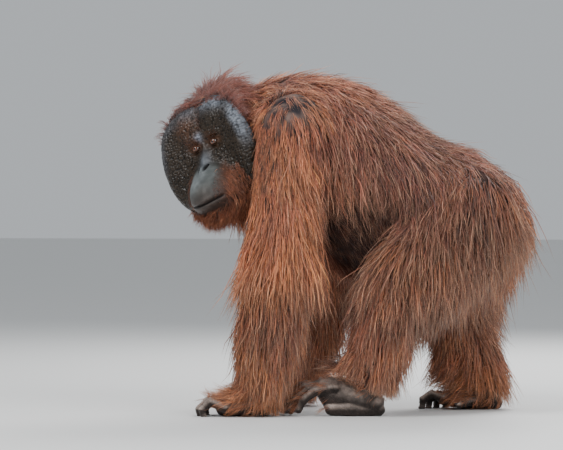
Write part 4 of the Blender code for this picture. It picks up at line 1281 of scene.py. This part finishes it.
def groom_beard(points, _):
    """The same for the chin, the throat side of the face and the sides of the muzzle."""
    across, forward, up = in_head(points).T
    side = np.abs(across)
    left, ahead, above = HEAD_ROWS
    sideways = np.sign(across)[:, None] * left
    dome = muzzle(across, up)
    off, _ = mouth_polar(across, up)
    front = forward > -0.030
    chin = front & (off > 0.015) & (side < 0.10) & (up < -0.10)
    cheek = front & ~chin & (side > 0.047) & (side < np.where(across > 0, 0.110, 0.062))
    cheek = cheek & (up < -0.060) & (dome > 0.001)
    lie = 0.10 * sideways + 0.60 * ahead - 0.7 * above + np.array((0, 0, -0.60))
    lie = np.where(cheek[:, None], 0.50 * sideways + 0.12 * ahead - 0.9 * above, lie)
    lie = lie + 0.5 * wander(points, 0.025)
    length = 0.042 * (0.40 + 0.60 * ease((off - 0.014) / 0.024))
    length = np.where(chin, length, np.where(across > 0, 0.026, 0.014))
    lift = np.where(chin, 0.42, 0.20)
    far_edge = np.where(across > 0, 0.112, 0.064)
    fade = ease((side - 0.047) / 0.014) * ease((far_edge - side) / 0.020) * ease((-0.060 - up) / 0.03)
    dense = np.where(chin, 1.3 * ease((off - 0.015) / 0.010), np.where(cheek, 0.75 * fade, 0.0))
    return unit(lie), length, lift, dense


def groom_fuzz(points, _):
    """The same for the short hair of the brow, the forehead's crease, the muzzle and the flanges."""
    across, forward, up = in_head(points).T
    side = np.abs(across)
    left, ahead, above = HEAD_ROWS
    sideways = np.sign(across)[:, None] * left
    front = forward > -0.030
    dome = muzzle(across, up)
    edge = front & (side > 0.034) & (side < 0.056) & (up < -0.070) & (up > -0.170)
    brow = front & (np.abs(up - 0.020) < 0.007) & (side < 0.050) & (side > 0.010)
    crease = front & (side < 0.006) & (up > 0.028) & (up < 0.10)
    lie = np.where(crease[:, None], above + 0.3 * sideways, 0.7 * sideways + 0.25 * above - 0.1 * ahead)
    lie = np.where(edge[:, None], 0.6 * sideways + 0.2 * ahead - 0.6 * above, lie)
    lie = lie + 0.4 * wander(points, 0.02)
    length = np.where(edge, 0.014, 0.011)
    lift = np.full(len(points), 0.35)
    dense = edge + brow * 1.0 + 1.2 * crease + 0.006 * front
    dense = dense * (np.abs(mouth_polar(across, up)[0]) > 0.008) * (nostril_share(across, up) < -0.6)
    return unit(lie), length, lift, dense * (1 - 0.8 * (dome > 0.03) * (side < 0.03))


def scatter(obj, groom, count, rng):
    """Roots over a skin, as many to an area as the hair grows thickly there."""
    mesh = obj.data
    mesh.calc_loop_triangles()
    corners = np.empty(len(mesh.loop_triangles) * 3, np.int32)
    mesh.loop_triangles.foreach_get("vertices", corners)
    rows = vertex_rows(obj)[corners.reshape(-1, 3)]
    cross = np.cross(rows[:, 1] - rows[:, 0], rows[:, 2] - rows[:, 0])
    area = np.linalg.norm(cross, axis=1) / 2
    normals = unit(cross)
    dense = groom(rows.mean(axis=1), normals)[3]
    weights = area * dense
    chosen = np.sort(rng.choice(len(area), count, p=weights / weights.sum()))
    s, t = rng.random(count), rng.random(count)
    fold = s + t > 1
    s, t = np.where(fold, 1 - s, s), np.where(fold, 1 - t, t)
    a, b, c = rows[chosen].transpose(1, 0, 2)
    return a + (b - a) * s[:, None] + (c - a) * t[:, None], normals[chosen]


# A guide has this many steps, and the hairs round it keep only some of its points. Strays and
# crinkles are shares of a hair's own span, and the wild hairs stray further.
STEPS = 8
LONG_HAIR = (0, 2, 4, 6, 8)
SHORT_HAIR = (0, 4, 8)
STRAY = 0.080
CRINKLE = 0.030
WILD_SHARE, WILD_STRAY = 0.10, 1.7

# Hairs start this deep in the skin, keep clear of it further out, and stand off it by this much
# at the tip where the coat lifts most.
ROOT_DEPTH = 0.004
CLEARANCE = 0.0015
LOFT = 0.066
LOWEST_HAIR = 0.003
WEIGHT = np.array((0.0, 0.0, -1.0))


def guide_paths(tree, points, normals, lie, length, lift, stiff):
    """Lines of hair that follow the lie, sag under their weight, and stay above the skin."""
    flow = unit(lie - normals * np.sum(lie * normals, axis=1, keepdims=True) * 0.85)
    direction = unit(flow + normals * lift[:, None])
    place = points - normals * ROOT_DEPTH
    paths = [place]
    stride = length / STEPS
    out = normals.copy()
    for step in range(1, STEPS + 1):
        place = place + direction * stride[:, None]
        least = CLEARANCE + LOFT * lift * (step / STEPS) * np.minimum(length / 0.14, 1.2)
        for i in range(len(place)):
            near, facing, _, distance = tree.find_nearest(Vector(place[i]))
            gap = place[i] - np.array(near)
            normal = np.array(facing)
            height = distance if gap @ normal > 0 else -distance
            if height < least[i]:
                place[i] += normal * min(least[i] - height, 0.7 * stride[i] + 0.003)
            if distance < 0.05:
                out[i] = normal
        sag = (0.16 + 0.10 * step / STEPS) * stiff
        direction = direction + WEIGHT * sag
        into = np.sum(direction * out, axis=1, keepdims=True)
        direction = unit(direction - out * np.minimum(into, 0) * 0.8)
        paths.append(place.copy())
    return np.stack(paths, axis=1)


def strands_from(guides, guide_roots, roots, kept, clump, rng):
    """One strand for each root, drawn towards its nearest guide on the way to the tip, and crinkled."""
    tree = KDTree(len(guide_roots))
    for i, root in enumerate(guide_roots):
        tree.insert(root, i)
    tree.balance()
    nearest = np.array([tree.find(root)[1] for root in roots])
    lines = guides[nearest][:, kept, :]
    offset = roots - guide_roots[nearest]
    t = np.array(kept) / STEPS
    keep = 1 - clump[:, None] * t[None, :] ** 0.8
    size = rng.uniform(0.70, 1.12, len(roots))
    start = lines[:, :1, :]
    lines = start + (lines - start) * size[:, None, None]
    lines = lines + offset[:, None, :] * keep[:, :, None]
    span = np.linalg.norm(lines[:, -1] - lines[:, 0], axis=1)
    wild = np.where(rng.random(len(roots)) < WILD_SHARE, WILD_STRAY, 1.0)
    stray = rng.normal(0, 1, (len(roots), 3)) * (span * STRAY * wild)[:, None]
    lines = lines + stray[:, None, :] * (t**1.5)[None, :, None]
    crinkle = rng.normal(0, 1, lines.shape) * (span[:, None] * CRINKLE * t[None, :] ** 0.6)[:, :, None]
    return lines + crinkle


def above_foot(lines, roots):
    """Hairs of the near leg, shortened where they would hang over the bare foot."""
    tips = lines[:, -1]
    room = roots[:, 2] - hem(tips, True)
    drop = roots[:, 2] - tips[:, 2]
    over = (roots[:, 1] < -0.05) & (roots[:, 0] > 0.0) & (drop > room)
    share = np.where(over, np.clip(room / np.maximum(drop, 1e-6), 0.15, 1), 1.0)
    return lines[:, :1] + (lines - lines[:, :1]) * share[:, None, None]


def coat_mesh(lines, width, colours, uv):
    """Closed three-sided hairs, each on its own small patch of the OFBake map at its root's place."""
    count, rings = lines.shape[0], lines.shape[1]
    ahead = np.empty_like(lines)
    ahead[:, 1:-1] = lines[:, 2:] - lines[:, :-2]
    ahead[:, 0] = lines[:, 1] - lines[:, 0]
    ahead[:, -1] = lines[:, -1] - lines[:, -2]
    ahead = unit(ahead)
    helper = np.where(np.abs(ahead[:, :1, 1:2]) > 0.9, np.array((1.0, 0, 0)), np.array((0, 1.0, 0)))
    side = unit(np.cross(ahead, np.broadcast_to(helper, ahead.shape)))
    other = np.cross(ahead, side)
    shares = np.linspace(0, 1, rings)
    taper = np.interp(shares[:-1], (0.0, 0.3, 0.6, 0.8), (0.80, 1.0, 0.80, 0.50))
    thick = width[:, None] * taper[None, :]
    points = np.empty((count, (rings - 1) * 3 + 1, 3))
    for k in range(3):
        angle = 2 * math.pi * k / 3
        around = side[:, :-1] * math.cos(angle) + other[:, :-1] * math.sin(angle) * 0.7
        points[:, k : (rings - 1) * 3 : 3] = lines[:, :-1] + around * thick[:, :, None]
    points[:, -1] = lines[:, -1]
    faces = [(0, 2, 1)]
    for ring in range(rings - 2):
        for k in range(3):
            a, b = ring * 3 + k, ring * 3 + (k + 1) % 3
            faces += [(a, b, a + 3), (b, b + 3, a + 3)]
    base, tip = (rings - 2) * 3, (rings - 1) * 3
    faces += [(base + k, base + (k + 1) % 3, tip) for k in range(3)]
    faces = np.array(faces)
    per = points.shape[1]
    all_faces = (faces[None] + (np.arange(count) * per)[:, None, None]).reshape(-1, 3)
    points = points.reshape(-1, 3)
    points[:, 2] = np.maximum(points[:, 2], LOWEST_HAIR)
    along = np.append(np.repeat(shares[:-1], 3), 1.0)
    # The root tone is painted shade deep in the coat, and the tip tone is partly painted highlight.
    shaded_root_tone, middle_tone, tip_tone_and_highlight = (group[:, None, :] for group in colours)
    to_middle = ease(along / 0.45)[None, :, None]
    to_tip = ease((along - 0.45) / 0.55)[None, :, None]
    tone = shaded_root_tone * (1 - to_middle) + middle_tone * to_middle
    tone = tone * (1 - to_tip) + tip_tone_and_highlight * to_tip
    spread = np.stack((np.append(np.tile((0.0, 0.5, 1.0), rings - 1), 0.5), along), axis=1) * 0.003
    patches = (uv[:, None, :] + spread[None]).reshape(-1, 2)
    return points, all_faces, tone.reshape(-1, 3), patches


def add_coat(name, batches):
    """One coat object from several batches of hairs."""
    points, faces, tones, patches = zip(*(coat_mesh(*batch) for batch in batches))
    starts = np.cumsum([0] + [len(rows) for rows in points[:-1]])
    faces = np.concatenate([rows + start for rows, start in zip(faces, starts)])
    obj = add_piece(name, np.concatenate(points), faces, COAT)
    paint(obj, np.clip(np.concatenate(tones), 0, 1))
    layer = obj.data.uv_layers.new(name="OFBake")
    layer.data.foreach_set("uv", np.concatenate(patches)[faces.ravel()].ravel())


def part_uv(points, name):
    """A part of the body rolled out flat round its own axis, from 0 to 1 each way."""
    if name == "torso":
        turn = np.arctan2(points[:, 1], points[:, 2] - 0.58)
        along = (points[:, 0] + 0.28) / 0.76
    else:
        if name == "neck":
            a, b = np.array((-0.17, 0, 0.70)), np.array((-0.34, -0.03, 0.68))
        else:
            side, part = name.split("_", 1)
            a, b = (np.array(tuple(JOINTS[f"{side}_{joint}"])) for joint in LIMBS[part][:2])
        axis = (b - a) / np.linalg.norm(b - a)
        along = (((points - a) @ axis) / np.linalg.norm(b - a) + 0.35) / 1.7
        first = unit(np.cross(axis, np.array((0.3, 1.0, 0.2)))[None])[0]
        turn = np.arctan2((points - a) @ first, (points - a) @ np.cross(axis, first))
    return np.stack((np.clip(turn / (2 * math.pi) + 0.5, 0, 1), np.clip(along, 0, 1)), axis=1)


def body_uv(points, region):
    """The unwrap of one coat piece: each part that it covers has an equal strip of the map."""
    uv = np.zeros((len(points), 2))
    present = np.unique(region)
    for strip, index in enumerate(present):
        here = region == index
        flat = part_uv(points[here], REGIONS[index])
        uv[here, 0] = (strip + 0.02 + flat[:, 0] * 0.95) / len(present)
        uv[here, 1] = 0.01 + flat[:, 1] * 0.97
    return uv


def head_uv(points):
    """An unwrap of the head: rolled out round the vertical through its middle."""
    across, forward, up = in_head(points).T
    turn = np.arctan2(across, forward + 0.06)
    u = 0.03 + (turn / (2 * math.pi) + 0.5) * 0.92
    v = 0.04 + np.clip((up + 0.24) / 0.46, 0, 1) * 0.9
    return np.stack((u, v), axis=1)


def three_tones(middle, tip, rng, spread):
    """Root, middle and tip colours of each hair: a dark root as painted shade, and a pale tip that is
    partly painted highlight.
    """
    value = np.clip(1 + rng.normal(0, spread, len(middle)), 0.35, 1.9)[:, None]
    middle = middle * value
    pale = rng.uniform(0.05, 0.80, len(middle))[:, None]
    # Painted shade: the root is darkened to 0.15 of the middle. The pale tip is partly the hair's own,
    # partly painted highlight.
    return middle * 0.15, middle, middle * (1 - pale) + tip * value * pale


def coat_colours(points, region, rng):
    """Red-brown hair: more orange on the arms, wrists and rump, browner on the back and thighs, with
    painted shade and highlight.
    """
    x, _, z = points.T
    brown, copper, orange = linear(112, 64, 54), linear(156, 90, 66), linear(196, 122, 76)
    torso = region == REGION_INDEX["torso"]
    limb = ~torso & (region != REGION_INDEX["neck"])
    warm = np.where(limb, 0.50, 0.34)
    warm = warm + 0.25 * ease((x - 0.36) / 0.10) + 0.40 * ease((0.20 - z) / 0.12)
    warm += 0.16 * ease((-0.02 - x) / 0.10)
    warm -= 0.22 * bell((x - 0.20) / 0.16, 1.0) * ease((z - 0.42) / 0.15)
    warm += 0.8 * (smooth_noise(points, 0.060, 2.0) - 0.5) + rng.normal(0, 0.16, len(points))
    warm = np.clip(warm, 0, 1)[:, None]
    dull, bright = brown + (copper - brown) * warm * 2, copper + (orange - copper) * (warm * 2 - 1)
    middle = np.where(warm < 0.5, dull, bright)
    value = 0.94 + 0.9 * (smooth_noise(points + 7, 0.026, 5.0) - 0.5)
    # Painted shade: the coat of the flank between arm and thigh is darkened.
    value = value * (1 - 0.52 * flank_share(points) * torso)
    value = value * np.where(region == REGION_INDEX["left_thigh"], 0.64, 1.0)
    # Painted highlight: the upper arms and the front of the trunk are made lighter where they catch the
    # light.
    arms = [REGION_INDEX[f"{side}_upper_arm"] for side in SIDES]
    value = value * np.where(np.isin(region, arms) | (torso & (x < -0.02)), 1.30, 1.0)
    return three_tones(middle * value[:, None], linear(228, 182, 148), rng, 0.32)


def grow(skin, tree, groom, counts, guides_count, width, clump, rng):
    """Batches of hairs over one skin, long ones and then short ones: their lines, widths and roots."""
    guide_roots, guide_normals = scatter(skin, groom, guides_count, rng)
    lie, length, lift, _ = groom(guide_roots, guide_normals)
    length = length * rng.uniform(0.82, 1.12, guides_count)
    lie = unit(lie + rng.normal(0, 0.17, lie.shape))
    stiff = np.minimum(length / 0.12, 1.0)[:, None]
    lift = lift * rng.uniform(0.7, 1.35, guides_count)
    paths = guide_paths(tree, guide_roots, guide_normals, lie, length, lift, stiff)
    batches = []
    for count, kept in zip(counts, (LONG_HAIR, SHORT_HAIR)):
        roots, normals = scatter(skin, groom, count, rng)
        clumps = np.clip(rng.normal(clump, 0.18, count), 0.05, 0.92)
        lines = keep_inside(strands_from(paths, guide_roots, roots, kept, clumps, rng))
        lengths = groom(roots, normals)[1]
        widths = width * np.clip(lengths / 0.12, 0.38, 1.1) * rng.uniform(0.75, 1.2, count)
        if kept == SHORT_HAIR:
            widths = widths * 0.85
        batches.append((lines, widths, roots))
    return batches


LIMIT_LOW = np.array(tuple(CAD_BOX[0])) - OFFSET
LIMIT_HIGH = np.array(tuple(CAD_BOX[1])) - OFFSET


def keep_inside(lines):
    """Bends back what would reach past the solids' own box."""
    slack = 0.008 + 0.02 * (LIMIT_HIGH - LIMIT_LOW)
    low_edge, high_edge = LIMIT_LOW - slack, LIMIT_HIGH + slack
    low_edge[2] = LOWEST_HAIR
    return np.clip(lines, low_edge, high_edge)


def skin_tree(*skins):
    """A search tree over one or more skins."""
    shapes = [(vertex_rows(skin), [p.vertices for p in skin.data.polygons]) for skin in skins]
    return BVHTree.FromPolygons(*joined(shapes))


def make_coat(body_skin, head_skin, extremities):
    """The whole coat, in pieces by region."""
    tree = skin_tree(body_skin, head_skin, *extremities)
    batches = grow(body_skin, tree, groom_body, (32000, 38000), 9000, 0.00120, 0.44, RNG)
    pieces = {}
    for lines, widths, roots in batches:
        lines = above_foot(lines, roots)
        region = region_of(roots)
        # The limbs and the neck have a piece each, and the trunk is shared among five.
        groups = {f"coat_{name}": region == REGION_INDEX[name] for name in (*REGIONS[2:], "neck")}
        torso = region == REGION_INDEX["torso"]
        middle = np.abs(roots[:, 1]) <= 0.045
        groups["coat_back_middle"] = torso & middle
        for side, beside in zip(SIDES, (roots[:, 1] < 0, roots[:, 1] >= 0)):
            for place, here in (("back", roots[:, 0] < 0.12), ("rump", roots[:, 0] >= 0.12)):
                groups[f"coat_{place}_{side}"] = torso & ~middle & beside & here
        colours = coat_colours(roots, region, RNG)
        for name, mask in groups.items():
            tones = tuple(tone[mask] for tone in colours)
            batch = (lines[mask], widths[mask], tones, body_uv(roots[mask], region[mask]))
            pieces.setdefault(name, []).append(batch)
    for name, parts in pieces.items():
        add_coat(name, parts)

    tree = skin_tree(head_skin)
    # Name, groom, counts of long and short hairs, guides, width, clumping, and middle and tip colours,
    # the pale tips partly painted highlight.
    kinds = (
        ("coat_crown", groom_crown, (6800, 3000), 1700, 0.00105, 0.30, (120, 62, 50), (184, 116, 88)),
        ("coat_beard", groom_beard, (2400, 2400), 1100, 0.00080, 0.35, (134, 74, 48), (206, 138, 94)),
        ("coat_face_fuzz", groom_fuzz, (100, 1300), 500, 0.00065, 0.10, (86, 50, 36), (140, 88, 60)),
    )
    for name, groom, counts, guides, width, clump, middle, tip in kinds:
        parts = []
        for lines, widths, roots in grow(head_skin, tree, groom, counts, guides, width, clump, RNG):
            middles = np.repeat(linear(*middle)[None], len(roots), axis=0)
            tones = three_tones(middles, linear(*tip), RNG, 0.20)
            parts.append((lines, widths, tones, head_uv(roots)))
        add_coat(name, parts)

    for skin in extremities:
        name = skin.name.replace("_skin", "_coat")
        parts = []
        tree = skin_tree(skin)
        batches = grow(skin, tree, groom_extremity, (800, 700), 260, 0.00100, 0.35, RNG)
        for lines, widths, roots in batches:
            middles = np.repeat(linear(178, 110, 72)[None], len(roots), axis=0)
            tones = three_tones(middles, linear(212, 150, 100), RNG, 0.20)
            flat = (roots - roots.min(axis=0)) / np.ptp(roots, axis=0)
            parts.append((lines, widths, tones, 0.02 + 0.94 * flat[:, :2]))
        add_coat(name, parts)


# Stage, light and camera.

# The photo is this wide, and its focal length is measured in the same pixels.
PHOTO_WIDTH = 563.0
FOCAL_LENGTH = 3510.0
CAMERA_PLACE = Vector((1.3979, -8.8628, 0.5696))
CAMERA_TARGET = Vector((-0.1649, 0.0, 0.4754))


def aim(obj, place, target):
    """Puts a light or a camera at a place, looking at a target."""
    obj.location = place
    obj.rotation_mode = "QUATERNION"
    obj.rotation_quaternion = (target - place).to_track_quat("-Z", "Y")


def make_stage():
    """A pale plain floor, and soft studio light."""
    mesh = bpy.data.meshes.new("floor")
    far = 30.0
    corners = [(-far, -far, 0), (far, -far, 0), (far, far, 0), (-far, far, 0)]
    mesh.from_pydata(corners, [], [(0, 1, 2, 3)])
    floor = new_object("floor", mesh)
    pale = bpy.data.materials.new("floor_pale")
    pale.use_nodes = True
    shader = pale.node_tree.nodes["Principled BSDF"]
    shader.inputs["Base Color"].default_value = (0.72, 0.72, 0.71, 1)
    shader.inputs["Roughness"].default_value = 0.7
    mesh.materials.append(pale)

    world = bpy.data.worlds.new("studio")
    world.use_nodes = True
    sky = world.node_tree.nodes["Background"]
    sky.inputs["Color"].default_value = (0.80, 0.84, 0.88, 1)
    sky.inputs["Strength"].default_value = 0.62
    bpy.context.scene.world = world

    for name, place, size, power in (
        ("key", (-1.6, -3.0, 3.4), 1.8, 150.0),
        ("fill", (2.2, -2.4, 2.8), 2.2, 75.0),
        ("back", (0.8, 3.2, 2.8), 2.0, 160.0),
    ):
        light = bpy.data.lights.new(name, "AREA")
        light.size = size
        light.energy = power
        aim(new_object(name, light), Vector(place), Vector((0, 0, 0.45)))


def make_camera():
    """The photograph's view: the animal's left side, seen a little from behind and from mid height."""
    data = bpy.data.cameras.new("camera")
    data.sensor_width = 36.0
    data.lens = FOCAL_LENGTH / PHOTO_WIDTH * data.sensor_width
    data.clip_end = 60.0
    camera = new_object("camera", data)
    aim(camera, CAMERA_PLACE + SHIFT, CAMERA_TARGET + SHIFT)
    bpy.context.scene.camera = camera


make_camera()
make_stage()
body_skin, extremities = make_body()
head_skin = make_head_skin()
make_lids()
make_eyes()
make_coat(body_skin, head_skin, extremities)

bpy.context.view_layer.update()
